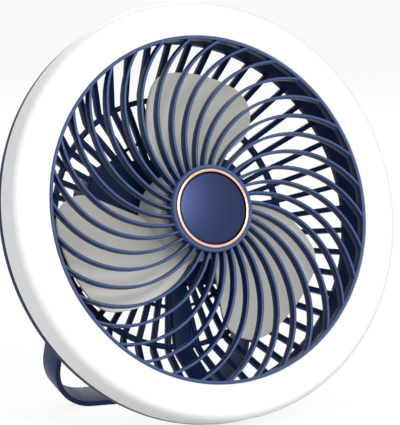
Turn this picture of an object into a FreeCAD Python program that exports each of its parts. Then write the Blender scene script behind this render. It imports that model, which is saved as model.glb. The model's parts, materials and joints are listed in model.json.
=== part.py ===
import FreeCAD, Part
import math
import os
import Sketcher

# Portable camping fan with a ring light and a folding bail.
# Every piece is drawn in the fan's own frame: X to the right as the fan is faced, Y backward along
# the fan's axis from the front of the ring, Z up across the disc. The whole fan is then leaned
# back until the rear rim and the bail both stand on the floor, which is Z = 0 of the part.

Vector = FreeCAD.Vector

# Driving dimensions, in millimetres and degrees.
SIZES = {
    # ring light
    "ring_radius": 115.0,
    "lens_depth": 19.5,
    "lens_wall": 2.0,
    "lens_corner": 5.5,
    "lens_hook": 5.0,
    "fit_gap": 0.2,
    # duct and rear shell
    "ring_width": 19.8,
    "duct_wall": 1.8,
    "duct_length": 24.6,
    "deck_front": 13.0,
    "deck_wall": 2.0,
    "deck_margin": 1.5,
    "shell_wall": 2.0,
    "rim_depth": 5.0,
    "rim_inset": 0.4,
    "edge_round": 0.8,
    "screw_offset": 8.8,
    "screw_count": 8,
    "boss_radius": 3.2,
    "pilot_radius": 1.2,
    "shank_radius": 1.1,
    "shank_gap": 0.5,
    "screw_head_radius": 2.6,
    "screw_head_height": 1.6,
    "screw_length": 9.0,
    # light board
    "board_thickness": 1.6,
    "board_duct_gap": 2.6,
    "board_rim_gap": 3.0,
    "chip_count": 36,
    "chip_length": 3.5,
    "chip_width": 2.8,
    "chip_height": 0.8,
    # front grille
    "rib_count": 34,
    "rib_width": 1.6,
    "rib_front": 0.2,
    "rib_depth": 5.6,
    "rib_sweep": 45.0,
    "rib_bow_radius": 55.6,
    "rib_turn": 8.4,
    "hoop_wall": 1.6,
    "hoop_depth": 6.0,
    "hoop_proud": 0.5,
    "hub_radius": 23.85,
    "hub_wall": 1.95,
    "hub_proud": 2.5,
    "hub_floor": 2.0,
    "hub_floor_wall": 2.0,
    "trim_wall": 1.8,
    "trim_proud": 0.4,
    "cap_radius": 19.4,
    "cap_rise": 1.3,
    "cap_sink": 0.4,
    # rear grille
    "flange_margin": 5.0,
    "flange_wall": 2.0,
    "mouth_step": 0.4,
    "mouth_wall": 2.8,
    "mouth_depth": 5.0,
    "dish_back": 55.0,
    "dish_wall": 4.0,
    "dish_slope_width": 23.6,
    "dish_round": 10.0,
    "shoulder_round": 5.0,
    "spoke_count": 48,
    "spoke_width": 2.8,
    "spoke_inner_radius": 24.0,
    "outer_ring_inset": 1.6,
    "outer_ring_width": 3.0,
    "inner_ring_radius": 47.7,
    "inner_ring_width": 1.8,
    "ring_inset": 0.3,
    "channel_width": 11.0,
    "channel_depth": 4.2,
    "collar_wall": 3.0,
    "collar_depth": 5.0,
    # battery case
    "case_corner": 14.0,
    "case_wall": 2.0,
    "case_front": 48.7,
    "case_lip": 2.4,
    "seat_gap": 0.1,
    "post_cell_gap": 0.5,
    "post_inset": 7.3,
    "post_radius": 3.0,
    "pedestal_radius": 15.0,
    "pedestal_front": 42.0,
    "pedestal_bore": 4.0,
    "cell_radius": 9.2,
    "cell_length": 65.0,
    "cell_count": 3,
    "cell_gap": 0.6,
    "cell_wall_gap": 2.1,
    "cell_end_room": 10.5,
    "cell_cap_radius": 2.8,
    "cell_cap_height": 1.2,
    "cradle_x": 20.0,
    "cradle_wall": 2.0,
    "pcb_cell_gap": 0.9,
    "pcb_side_gap": 3.5,
    "pcb_end_gap": 1.8,
    "pcb_corner": 8.0,
    "pcb_room": 4.2,
    # rear cover and controls
    "cover_thickness": 2.6,
    "cover_round": 1.6,
    "skirt_depth": 2.0,
    "skirt_wall": 1.4,
    "screw_head_sink": 0.3,
    "cover_screw_length": 9.0,
    "button_x": 14.0,
    "button_z": -7.0,
    "button_radius": 6.3,
    "button_proud": 1.0,
    "button_lip": 1.3,
    "button_lip_wall": 1.0,
    "button_travel": 0.8,
    "button_gap": 0.3,
    "button_round": 0.7,
    "switch_side": 6.0,
    "plunger_radius": 1.7,
    "plunger_height": 0.6,
    "dot_radius": 1.3,
    "dot_pitch": 8.0,
    "dot_z": 12.0,
    "dot_count": 4,
    "dot_gap": 0.15,
    "guide_wall": 1.2,
    "port_width": 9.0,
    "port_height": 3.2,
    "port_length": 7.3,
    "port_gap": 0.3,
    "port_wall": 0.3,
    # motor
    "shaft_radius": 1.97,
    "bearing_bore": 2.0,
    "bearing_radius": 5.0,
    "bearing_width": 4.0,
    "press_gap": 0.02,
    "sleeve_radius": 7.0,
    "sleeve_front": 22.0,
    "sleeve_flange_radius": 12.5,
    "sleeve_flange_wall": 2.0,
    "stator_radius": 19.2,
    "stator_front": 25.0,
    "stator_length": 9.0,
    "stator_root": 10.2,
    "tooth_count": 9,
    "tooth_width": 3.2,
    "tooth_tip": 1.6,
    "tooth_spread": 0.85,
    "coil_wall": 1.3,
    "coil_inset": 0.5,
    "cup_radius": 23.3,
    "cup_wall": 1.2,
    "cup_front": 17.0,
    "cup_back": 36.5,
    "magnet_wall": 2.1,
    "magnet_front": 22.0,
    "motor_board_radius": 17.5,
    "motor_board_wall": 1.2,
    "clip_radius": 3.6,
    "clip_wall": 0.6,
    "clip_bite": 0.5,
    # impeller
    "impeller_radius": 25.6,
    "impeller_front": 14.0,
    "impeller_back": 38.0,
    "impeller_round": 5.0,
    "nose_radius": 6.0,
    "nose_front": 10.0,
    "blade_count": 3,
    "blade_tip_gap": 16.2,
    "blade_turn": 5.8,
    "blade_front": 13.5,
    "blade_back": 36.0,
    "blade_wall": 1.8,
    "blade_span": 110.0,
    "blade_lead_reach": 28.5,
    "blade_lead_root": 15.0,
    "blade_lead_tip": 20.0,
    "blade_trail_root": 5.5,
    "blade_trail_tip": 52.0,
    "blade_trail_height": 59.0,
    "blade_lead_round": 16.0,
    "blade_trail_round": 17.0,
    # bail
    "bail_half_width": 60.0,
    "bail_thickness": 3.0,
    "bail_strap": 18.7,
    "bail_corner": 25.8,
    "bail_reach": 84.6,
    "bail_angle": 32.8,
    "pivot_drop": 16.8,
    "pivot_inset": 9.8,
    "pivot_boss_radius": 8.0,
    "pivot_boss_depth": 4.0,
    "shoulder_radius": 4.0,
    "pivot_gap": 0.05,
    "washer_wall": 0.5,
    "washer_gap": 0.1,
    "pivot_head_radius": 7.5,
    "pivot_head_height": 2.4,
    "pivot_head_gap": 0.2,
    "pivot_thread_radius": 1.5,
    "pivot_thread_length": 6.5,
}


class Size:
    """A length, count or angle that keeps its number together with the sheet formula that gives it."""

    def __init__(self, value, text):
        self.value = value
        self.text = text

    def __add__(self, other):
        other = as_size(other)
        return Size(self.value + other.value, f"({self.text} + {other.text})")

    def __radd__(self, other):
        return as_size(other) + self

    def __sub__(self, other):
        other = as_size(other)
        return Size(self.value - other.value, f"({self.text} - {other.text})")

    def __rsub__(self, other):
        return as_size(other) - self

    def __mul__(self, other):
        other = as_size(other)
        return Size(self.value * other.value, f"({self.text} * {other.text})")

    def __rmul__(self, other):
        return as_size(other) * self

    def __truediv__(self, other):
        other = as_size(other)
        return Size(self.value / other.value, f"({self.text} / {other.text})")

    def __rtruediv__(self, other):
        return as_size(other) / self

    def __neg__(self):
        return Size(-self.value, f"(0 - {self.text})")


def as_size(number):
    """Return a Size as it is, and a plain number as a Size."""
    if isinstance(number, Size):
        return number
    return Size(float(number), f"{float(number):.9g}")


def sine(angle):
    return Size(math.sin(math.radians(angle.value)), f"sin({angle.text})")


def cosine(angle):
    return Size(math.cos(math.radians(angle.value)), f"cos({angle.text})")


def arctangent(ratio):
    return Size(math.degrees(math.atan(ratio.value)), f"(atan({ratio.text}) / 1 deg)")


def root(number):
    return Size(math.sqrt(number.value), f"sqrt({number.text})")


class Sheet:
    """The driving dimensions: each name gives its Size, tied to its cell."""

    def __init__(self, doc):
        cells = doc.addObject("Spreadsheet::Sheet", "sizes")
        for row, (alias, number) in enumerate(SIZES.items(), start=1):
            cells.set(f"A{row}", alias)
            cells.set(f"B{row}", str(number))
            cells.setAlias(f"B{row}", alias)
        doc.recompute()

    def __getattr__(self, alias):
        return Size(SIZES[alias], f"sizes.{alias}")


doc = FreeCAD.newDocument("camping_fan")
s = Sheet(doc)
made = []


# Places that several pieces share

duct_radius = s.ring_radius - s.ring_width
hoop_outer = duct_radius - s.fit_gap
hoop_inner = hoop_outer - s.hoop_wall
lens_side = s.ring_radius - s.lens_wall
duct_outer = duct_radius + s.duct_wall
duct_front = s.lens_wall + 2 * s.fit_gap
deck_back = s.deck_front + s.deck_wall
deck_radius = lens_side - s.deck_margin
board_inner = duct_outer + s.board_duct_gap
board_outer = lens_side - s.board_rim_gap
screw_circle = duct_radius + s.screw_offset
rim_radius = s.ring_radius - s.rim_inset
rim_front = s.lens_depth + s.fit_gap
shell_back = rim_front + s.rim_depth
plate_front = shell_back - s.shell_wall
flange_front = shell_back + s.fit_gap
flange_back = flange_front + s.flange_wall
flange_radius = s.ring_radius - s.flange_margin
mouth_radius = duct_radius + s.mouth_step
mouth_outer = mouth_radius + s.mouth_wall
mouth_back = flange_front + s.mouth_depth
dish_front = s.dish_back - s.dish_wall
dish_flat_radius = mouth_radius - s.dish_slope_width
outer_ring_radius = dish_flat_radius - s.outer_ring_inset
blade_tip_radius = duct_radius - s.blade_tip_gap
cell_pitch = 2 * s.cell_radius + s.cell_gap
cell_stack_half = (s.cell_count - 1) * cell_pitch / 2 + s.cell_radius
case_half_width = s.cell_length / 2 + s.cell_end_room + s.case_wall
case_half_height = cell_stack_half + s.cell_wall_gap + s.case_wall
case_floor = s.case_front + s.case_wall
collar_front = case_floor + s.seat_gap
cell_back = case_floor + s.fit_gap + s.cell_radius
pcb_front = cell_back + s.cell_radius + s.pcb_cell_gap
pcb_back = pcb_front + s.board_thickness
case_back = pcb_back + s.pcb_room
post_x = s.cell_length / 2 + s.post_cell_gap + s.post_radius
post_z = case_half_height - s.post_inset
pivot_back = case_back - s.pivot_inset
cover_front = case_back + s.fit_gap
cover_back = cover_front + s.cover_thickness
button_lip_front = cover_front - s.fit_gap - s.button_lip_wall
plunger_back = button_lip_front - s.button_travel - s.fit_gap
arm_inner = s.bail_half_width - s.bail_thickness
washer_outer = arm_inner - s.washer_gap
boss_face = washer_outer - s.washer_wall
head_inner = s.bail_half_width + s.pivot_head_gap
sleeve_back = s.pedestal_front
sleeve_bore = s.bearing_radius + s.press_gap
sleeve_base = sleeve_back - s.sleeve_flange_wall
trim_outer = s.hub_radius - s.hub_wall - s.fit_gap / 2
trim_front = -s.hub_proud - s.trim_proud
magnet_outer = s.cup_radius - s.cup_wall
hub_floor_back = s.hub_floor + s.hub_floor_wall
rib_back = s.rib_front + s.rib_depth
opening_x = case_half_width + s.fit_gap
opening_z = case_half_height + s.fit_gap
port_back = pcb_back + s.port_height / 2
cover_head_front = cover_back - s.screw_head_height - s.screw_head_sink

# The lean: the rear rim and the bail's web end in the same round edge, and both rest on the floor.

rim_low = rim_radius - s.edge_round
rim_low_back = shell_back - s.edge_round
web_depth = s.bail_reach + s.bail_thickness / 2 - s.edge_round
web_half = s.bail_strap / 2 - s.edge_round
web_low = s.pivot_drop + web_depth * cosine(s.bail_angle) + web_half * sine(s.bail_angle)
web_low_back = pivot_back + web_depth * sine(s.bail_angle) - web_half * cosine(s.bail_angle)
lean = arctangent((rim_low - web_low) / (web_low_back - rim_low_back))
axis_height = rim_low * cosine(lean) + rim_low_back * sine(lean) + s.edge_round

# The origin lies midway between the foremost point of the ring and the rearmost point of the bail.

front_reach = (s.ring_radius - s.lens_corner) * sine(lean) + s.lens_corner - s.lens_corner * cosine(lean)
bail_lean = s.bail_angle - lean
pivot_y = pivot_back * cosine(lean) - s.pivot_drop * sine(lean)
rear_reach = pivot_y + web_depth * sine(bail_lean) + web_half * cosine(bail_lean) + s.edge_round


def place(piece, turn=None, base_y=0, base_z=0):
    """Stand a finished piece in the fan's resting attitude, from a base point and turn of its own."""
    angle = as_size(0) - lean if turn is None else as_size(turn) - lean
    back = as_size(base_y) * cosine(lean) + as_size(base_z) * sine(lean)
    up = as_size(base_z) * cosine(lean) - as_size(base_y) * sine(lean)
    y = back - (rear_reach - front_reach) / 2
    z = up + axis_height
    spin = FreeCAD.Rotation(Vector(1, 0, 0), angle.value)
    piece.Placement = FreeCAD.Placement(Vector(0, y.value, z.value), spin)
    piece.setExpression("Placement.Base.y", y.text)
    piece.setExpression("Placement.Base.z", z.text)
    piece.setExpression("Placement.Rotation.Angle", angle.text)
    made.append(piece)
    return piece


def bind(item, name, size):
    """Set one property of an object from a Size, and tie it to the sheet."""
    size = as_size(size)
    setattr(item, name, size.value)
    item.setExpression(name, size.text)


def new_body(label):
    body = doc.addObject("PartDesign::Body", label)
    body.Label = label
    body.AllowCompound = True
    return body


def plane_of(body, role):
    for feature in body.Origin.OriginFeatures:
        if feature.Role == role:
            return feature
    raise LookupError(role)


def new_sketch(body, role="XY_Plane", lift=None):
    """Add a sketch on one of the body's own planes, raised along the plane's normal."""
    sketch = body.newObject("Sketcher::SketchObject", f"{body.Label}_sketch")
    sketch.AttachmentSupport = (plane_of(body, role), [""])
    sketch.MapMode = "FlatFace"
    if lift is not None:
        lift = as_size(lift)
        sketch.AttachmentOffset = FreeCAD.Placement(Vector(0, 0, lift.value), FreeCAD.Rotation())
        sketch.setExpression("AttachmentOffset.Base.z", lift.text)
    return sketch


class Rules:
    """Constraints gathered for one sketch and laid down together, so that nothing moves in between."""

    def __init__(self, sketch):
        self.sketch = sketch
        self.rules = []

    def add(self, *terms, size=None):
        if size is not None:
            terms += (as_size(size).value,)
        self.rules.append((Sketcher.Constraint(*terms), size))

    def point(self, geometry, vertex, x, y):
        """Hold one vertex at two coordinates tied to the sheet."""
        for kind, axis, size in (("DistanceX", -2, as_size(x)), ("DistanceY", -1, as_size(y))):
            if size.value == 0:
                self.add("PointOnObject", geometry, vertex, axis)
            else:
                self.add(kind, geometry, vertex, size=size)

    def lay(self):
        first = self.sketch.ConstraintCount
        self.sketch.addConstraint([rule for rule, size in self.rules])
        for index, (rule, size) in enumerate(self.rules, start=first):
            if size is not None:
                self.sketch.setExpression(f"Constraints[{index}]", as_size(size).text)


def draw_circle(sketch, x, y, radius):
    circle = Part.Circle(Vector(as_size(x).value, as_size(y).value, 0), Vector(0, 0, 1), as_size(radius).value)
    index = sketch.addGeometry(circle, False)
    rules = Rules(sketch)
    rules.point(index, 3, x, y)
    rules.add("Radius", index, size=radius)
    rules.lay()


def draw_outline(sketch, corners):
    """Draw a closed outline. A corner is (x, y), or (x, y, radius) where it is rounded."""
    count = len(corners)
    points = [Vector(as_size(c[0]).value, as_size(c[1]).value, 0) for c in corners]
    rounds = [as_size(c[2]).value if len(c) > 2 else 0.0 for c in corners]
    entries, exits, centres = [], [], []
    for i, point in enumerate(points):
        back = (points[i - 1] - point).normalize()
        ahead = (points[(i + 1) % count] - point).normalize()
        half = back.getAngle(ahead) / 2
        run = rounds[i] / math.tan(half)
        entries.append(point + back * run)
        exits.append(point + ahead * run)
        middle = (back + ahead).normalize() if rounds[i] else Vector()
        centres.append(point + middle * (rounds[i] / math.sin(half)))
    lines = [
        sketch.addGeometry(Part.LineSegment(exits[i], entries[(i + 1) % count]), False)
        for i in range(count)
    ]
    rules = Rules(sketch)
    for i, corner in enumerate(corners):
        before, after = lines[i - 1], lines[i]
        if not rounds[i]:
            rules.add("Coincident", before, 2, after, 1)
            rules.point(after, 1, corner[0], corner[1])
            continue
        arc, forward = draw_corner(sketch, entries[i], exits[i], centres[i], rounds[i])
        start, end = (1, 2) if forward else (2, 1)
        rules.add("Tangent", before, 2, arc, start)
        rules.add("Tangent", arc, end, after, 1)
        rules.add("Radius", arc, size=corner[2])
        mark = sketch.addGeometry(Part.Point(points[i]), True)
        rules.point(mark, 1, corner[0], corner[1])
        rules.add("PointOnObject", mark, 1, before)
        rules.add("PointOnObject", mark, 1, after)
    rules.lay()


def draw_corner(sketch, entry, leave, centre, radius):
    """Add the arc of a rounded corner; also say whether it runs from the entry to the exit."""
    turn_in, turn_out = entry - centre, leave - centre
    first = math.atan2(turn_in.y, turn_in.x)
    last = math.atan2(turn_out.y, turn_out.x)
    forward = turn_in.cross(turn_out).z > 0
    if not forward:
        first, last = last, first
    if last < first:
        last += 2 * math.pi
    circle = Part.Circle(centre, Vector(0, 0, 1), radius)
    return sketch.addGeometry(Part.ArcOfCircle(circle, first, last), False), forward


def rectangle(half_width, half_height, corner=None, x=0, y=0):
    """Corners of a rectangle about a centre, rounded when a corner radius is given."""
    tail = () if corner is None else (corner,)
    left, right = as_size(x) - half_width, as_size(x) + half_width
    low, high = as_size(y) - half_height, as_size(y) + half_height
    return [(left, low) + tail, (right, low) + tail, (right, high) + tail, (left, high) + tail]


def revolve(body, *outlines):
    """Turn outlines, each given as (radius, back) corners, about the fan's axis."""
    sketch = new_sketch(body)
    for corners in outlines:
        draw_outline(sketch, corners)
    turned = body.newObject("PartDesign::Revolution", f"{body.Label}_turned")
    turned.Profile = sketch
    turned.ReferenceAxis = (sketch, ["V_Axis"])
    turned.Angle = 360


def pad(body, front, back, corners=None, circle=None):
    """Raise an outline or a circle, drawn across the disc, from one depth to another."""
    sketch = new_sketch(body, "XZ_Plane", -as_size(front))
    if corners:
        draw_outline(sketch, corners)
    if circle:
        draw_circle(sketch, *circle)
    feature = body.newObject("PartDesign::Pad", f"{body.Label}_pad")
    feature.Profile = sketch
    feature.Reversed = True
    bind(feature, "Length", as_size(back) - front)
    return feature


def pocket(body, front, back, corners=None, circles=()):
    """Sink an outline or circles, drawn across the disc, from one depth to another."""
    sketch = new_sketch(body, "XZ_Plane", -as_size(front))
    if corners:
        draw_outline(sketch, corners)
    for circle in circles:
        draw_circle(sketch, *circle)
    feature = body.newObject("PartDesign::Pocket", f"{body.Label}_pocket")
    feature.Profile = sketch
    bind(feature, "Length", as_size(back) - front)
    return must_cut(body, feature)


def side_cut(body, role, depth_from, depth_to, corners=None, circles=()):
    """Sink an outline or circles drawn on a side plane, between two distances along its normal."""
    sketch = new_sketch(body, role, depth_to)
    if corners:
        draw_outline(sketch, corners)
    for circle in circles:
        draw_circle(sketch, *circle)
    feature = body.newObject("PartDesign::Pocket", f"{body.Label}_side_cut")
    feature.Profile = sketch
    bind(feature, "Length", as_size(depth_to) - depth_from)
    return must_cut(body, feature)


def side_pad(body, role, depth_from, depth_to, corners=None, circles=()):
    """Raise an outline or circles drawn on a side plane, between two distances along its normal."""
    sketch = new_sketch(body, role, depth_from)
    if corners:
        draw_outline(sketch, corners)
    for circle in circles:
        draw_circle(sketch, *circle)
    feature = body.newObject("PartDesign::Pad", f"{body.Label}_side_pad")
    feature.Profile = sketch
    bind(feature, "Length", as_size(depth_to) - depth_from)
    return feature


def must_cut(body, feature):
    """Stop if a cut removes nothing, because a cut that points away from the solid is silent."""
    doc.recompute()
    before = feature.BaseFeature.Shape.Volume
    if feature.Shape.Volume > before - 1e-6:
        raise RuntimeError(f"{feature.Name} cuts nothing")
    return feature


def polar(body, features, count):
    """Repeat features round the fan's axis."""
    pattern = body.newObject("PartDesign::PolarPattern", f"{body.Label}_round")
    pattern.Originals = features
    pattern.Axis = (plane_of(body, "Y_Axis"), [""])
    pattern.Angle = 360
    bind(pattern, "Occurrences", count)
    body.Tip = pattern
    return pattern


def feature_piece(label, shape):
    """A piece whose shape is worked out in code, for forms that no single feature makes."""
    piece = doc.addObject("Part::Feature", label)
    piece.Label = label
    piece.Shape = shape
    return place(piece)


def about_axis(shape, angle):
    """A copy of a shape turned about the fan's axis."""
    copy = shape.copy()
    copy.rotate(Vector(0, 0, 0), Vector(0, 1, 0), angle)
    return copy


def rod(x, z, front, back, radius):
    """A plain cylinder along the fan's axis, in plain numbers."""
    return Part.makeCylinder(radius, back - front, Vector(x, front, z), Vector(0, 1, 0))


def cross_rod(y, z, left, right, radius):
    """A plain cylinder across the fan, in plain numbers."""
    return Part.makeCylinder(radius, right - left, Vector(left, y, z), Vector(1, 0, 0))


def block(x, z, front, back, width, height):
    """A plain box centred at (x, z), between two depths, in plain numbers."""
    return Part.makeBox(width, back - front, height, Vector(x - width / 2, front, z - height / 2))


# Ring light

def make_light_diffuser():
    body = new_body("light_diffuser")
    revolve(body, [
        (duct_radius, 0),
        (s.ring_radius, 0, s.lens_corner),
        (s.ring_radius, s.lens_depth),
        (lens_side, s.lens_depth),
        (lens_side, s.lens_wall, s.lens_corner - s.lens_wall),
        (duct_outer + s.fit_gap + s.lens_wall, s.lens_wall),
        (duct_outer + s.fit_gap + s.lens_wall, s.lens_wall + s.lens_hook),
        (duct_outer + s.fit_gap, s.lens_wall + s.lens_hook),
        (duct_outer + s.fit_gap, s.lens_wall + s.fit_gap),
        (duct_radius, s.lens_wall + s.fit_gap),
    ])
    place(body)


def make_led_board():
    body = new_body("led_board")
    front = s.deck_front - s.board_thickness
    revolve(body, [
        (board_inner, front),
        (board_outer, front),
        (board_outer, s.deck_front),
        (board_inner, s.deck_front),
    ])
    place(body)


def make_led_chips():
    body = new_body("led_chips")
    front = s.deck_front - s.board_thickness - s.chip_height
    middle = (board_inner + board_outer) / 2
    chip = pad(body, front, front + s.chip_height,
               rectangle(s.chip_length / 2, s.chip_width / 2, y=middle))
    polar(body, [chip], s.chip_count)
    place(body)


def make_duct_ring():
    body = new_body("duct_ring")
    revolve(body, [
        (duct_radius, duct_front),
        (duct_outer, duct_front),
        (duct_outer, s.deck_front),
        (deck_radius, s.deck_front),
        (deck_radius, deck_back),
        (duct_outer, deck_back),
        (duct_outer, s.duct_length),
        (duct_radius, s.duct_length),
    ])
    boss = pad(body, s.deck_front, plate_front - s.seat_gap, circle=(0, screw_circle, s.boss_radius))
    polar(body, [boss], s.screw_count)
    pilot = pocket(body, plate_front - s.screw_length, plate_front,
                   circles=[(0, screw_circle, s.pilot_radius)])
    polar(body, [pilot], s.screw_count)
    place(body)


def make_rear_shell():
    body = new_body("rear_shell")
    collar = duct_outer + s.fit_gap
    revolve(body, [
        (collar, deck_back + s.fit_gap),
        (collar + s.shell_wall, deck_back + s.fit_gap),
        (collar + s.shell_wall, plate_front),
        (rim_radius - s.shell_wall, plate_front),
        (rim_radius - s.shell_wall, rim_front),
        (rim_radius, rim_front),
        (rim_radius, shell_back, s.edge_round),
        (collar, shell_back),
    ])
    hole = pocket(body, plate_front - s.seat_gap, shell_back + s.seat_gap,
                  circles=[(0, screw_circle, s.shank_radius + s.shank_gap)])
    polar(body, [hole], s.screw_count)
    place(body)


def screw(x, z, head_back, length):
    """A pan-head screw driven towards the front, its head's outer face at head_back."""
    head_front = head_back - s.screw_head_height.value
    head = rod(x, z, head_front, head_back, s.screw_head_radius.value)
    rim = [edge for edge in head.Edges if abs(edge.BoundBox.YMin - head_back) < 1e-3]
    head = head.makeFillet(s.screw_head_height.value / 2, rim[:1])
    shank = rod(x, z, head_front - length, head_front, s.shank_radius.value)
    return head.fuse(shank).removeSplitter()


def make_ring_screws():
    head_back = (flange_back + s.seat_gap + s.screw_head_height).value
    single = screw(0, screw_circle.value, head_back, s.screw_length.value)
    count = int(s.screw_count.value)
    feature_piece("ring_screws", Part.makeCompound(
        [about_axis(single, 360 * i / count) for i in range(count)]))


# Front grille and hub

def draw_rib(sketch):
    """One spiral rib: two arcs about one centre, ending on the hub's and the hoop's mid circles."""
    start_radius = s.hub_radius - s.hub_wall / 2
    end_radius = hoop_outer - s.hoop_wall / 2
    far = s.rib_turn + s.rib_sweep
    start_x, start_z = start_radius * sine(s.rib_turn), start_radius * cosine(s.rib_turn)
    end_x, end_z = end_radius * sine(far), end_radius * cosine(far)
    span_x, span_z = end_x - start_x, end_z - start_z
    chord = root(span_x * span_x + span_z * span_z)
    offset = root(s.rib_bow_radius * s.rib_bow_radius - chord * chord / 4)
    centre_x = (start_x + end_x) / 2 + offset * span_z / chord
    centre_z = (start_z + end_z) / 2 - offset * span_x / chord
    centre = Vector(centre_x.value, centre_z.value, 0)
    rules = Rules(sketch)
    rims = []
    for radius in (start_radius, end_radius):
        rim = sketch.addGeometry(Part.Circle(Vector(), Vector(0, 0, 1), radius.value), True)
        rules.add("Coincident", rim, 3, -1, 1)
        rules.add("Radius", rim, size=radius)
        rims.append(rim)
    from_start = Vector(start_x.value, start_z.value, 0) - centre
    from_end = Vector(end_x.value, end_z.value, 0) - centre
    first = math.atan2(from_end.y, from_end.x)
    last = math.atan2(from_start.y, from_start.x)
    arcs = []
    for side in (-1, 1):
        radius = s.rib_bow_radius + side * s.rib_width / 2
        circle = Part.Circle(centre, Vector(0, 0, 1), radius.value)
        arc = sketch.addGeometry(Part.ArcOfCircle(circle, first, last), False)
        rules.point(arc, 3, centre_x, centre_z)
        rules.add("Radius", arc, size=radius)
        rules.add("PointOnObject", arc, 1, rims[1])
        rules.add("PointOnObject", arc, 2, rims[0])
        arcs.append(arc)
    for vertex in (1, 2):
        curves = [sketch.Geometry[arc] for arc in arcs]
        ends = [c.StartPoint if vertex == 1 else c.EndPoint for c in curves]
        line = sketch.addGeometry(Part.LineSegment(ends[0], ends[1]), False)
        rules.add("Coincident", line, 1, arcs[0], vertex)
        rules.add("Coincident", line, 2, arcs[1], vertex)
    rules.lay()


def make_front_grille():
    body = new_body("front_grille")
    hub_inner = s.hub_radius - s.hub_wall
    hub_corner = s.hub_wall / 3
    floor_back = hub_floor_back
    revolve(body, [
        (0, s.hub_floor),
        (hub_inner, s.hub_floor),
        (hub_inner, -s.hub_proud, hub_corner),
        (s.hub_radius, -s.hub_proud, hub_corner),
        (s.hub_radius, rib_back),
        (hub_inner, rib_back),
        (hub_inner, floor_back),
        (0, floor_back),
    ])
    sketch = new_sketch(body, "XZ_Plane", -s.rib_front)
    draw_rib(sketch)
    rib = body.newObject("PartDesign::Pad", "front_grille_rib")
    rib.Profile = sketch
    rib.Reversed = True
    bind(rib, "Length", s.rib_depth)
    polar(body, [rib], s.rib_count)
    revolve(body, [
        (hoop_inner, -s.hoop_proud, s.hoop_wall / 3),
        (hoop_outer, -s.hoop_proud, s.hoop_wall / 3),
        (hoop_outer, s.hoop_depth),
        (hoop_inner, s.hoop_depth),
    ])
    place(body)


def make_hub_trim_ring():
    body = new_body("hub_trim_ring")
    inner = trim_outer - s.trim_wall
    revolve(body, [
        (inner, trim_front, s.trim_wall / 3),
        (trim_outer, trim_front, s.trim_wall / 3),
        (trim_outer, s.hub_floor),
        (inner, s.hub_floor),
    ])
    place(body)


def make_hub_cap():
    """A domed disc: a short rim under a spherical cap, set in the trim ring's recess."""
    rim_back = s.hub_floor.value
    rim_front = (-s.hub_proud + s.cap_sink).value
    radius, rise = s.cap_radius.value, s.cap_rise.value
    dome = (radius * radius + rise * rise) / (2 * rise)
    ball = Part.makeSphere(dome, Vector(0, rim_front - rise + dome, 0))
    blank = rod(0, 0, rim_front - rise, rim_back, radius)
    feature_piece("hub_cap", blank.common(ball).fuse(rod(0, 0, rim_front, rim_back, radius)).removeSplitter())


# Rear grille

def dish_section(inner, front):
    """The section that every spoke follows: flat across the back, bent forward to the mouth."""
    slant = s.dish_wall * dish_flat_radius / (dish_flat_radius + mouth_radius)
    return [
        (inner, front),
        (dish_flat_radius - slant, front, s.dish_round - s.dish_wall),
        (mouth_radius + s.mouth_wall / 4, mouth_back - s.dish_wall, s.shoulder_round - s.dish_wall),
        (mouth_radius + s.mouth_wall / 4, flange_front),
        (mouth_outer - s.mouth_wall / 4, flange_front),
        (mouth_outer - s.mouth_wall / 4, mouth_back, s.shoulder_round),
        (dish_flat_radius, s.dish_back, s.dish_round),
        (inner, s.dish_back),
    ]


def grille_frame():
    """The grille without its spokes: flanged mouth, two rings, collar for the case, cable channel."""
    body = new_body("grille_frame")
    mouth = [
        (mouth_radius, flange_front),
        (flange_radius, flange_front),
        (flange_radius, flange_back),
        (mouth_outer, flange_back),
        (mouth_outer, mouth_back),
        (mouth_radius, mouth_back),
    ]
    rings = [
        [
            (outer - width, dish_front + s.ring_inset),
            (outer, dish_front + s.ring_inset),
            (outer, s.dish_back - s.ring_inset),
            (outer - width, s.dish_back - s.ring_inset),
        ]
        for outer, width in ((outer_ring_radius, s.outer_ring_width), (s.inner_ring_radius, s.inner_ring_width))
    ]
    revolve(body, mouth, *rings)
    hole = pocket(body, flange_front - s.seat_gap, flange_back + s.seat_gap,
                  circles=[(0, screw_circle, s.shank_radius + s.shank_gap)])
    polar(body, [hole], s.screw_count)
    collar = new_sketch(body, "XZ_Plane", -collar_front)
    draw_outline(collar, rectangle(opening_x + s.collar_wall, opening_z + s.collar_wall,
                                   s.case_corner + s.collar_wall))
    draw_outline(collar, rectangle(opening_x, opening_z, s.case_corner + s.fit_gap))
    raised = body.newObject("PartDesign::Pad", "grille_collar")
    raised.Profile = collar
    raised.Reversed = True
    bind(raised, "Length", s.collar_depth)
    channel = new_sketch(body, "YZ_Plane")
    section = dish_section(opening_z + s.collar_wall / 2, s.dish_back - s.channel_depth)
    draw_outline(channel, [(c[1], -as_size(c[0])) + tuple(c[2:]) for c in section])
    straight = body.newObject("PartDesign::Pad", "grille_channel")
    straight.Profile = channel
    straight.Midplane = True
    bind(straight, "Length", s.channel_width)
    doc.recompute()
    return body


def single_spoke():
    """One spoke, drawn towards +X, from inside the case's opening to the mouth."""
    body = new_body("grille_spoke")
    sketch = new_sketch(body)
    draw_outline(sketch, dish_section(s.spoke_inner_radius, dish_front))
    spoke = body.newObject("PartDesign::Pad", "grille_spoke_pad")
    spoke.Profile = sketch
    spoke.Midplane = True
    bind(spoke, "Length", s.spoke_width)
    doc.recompute()
    return body


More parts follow.
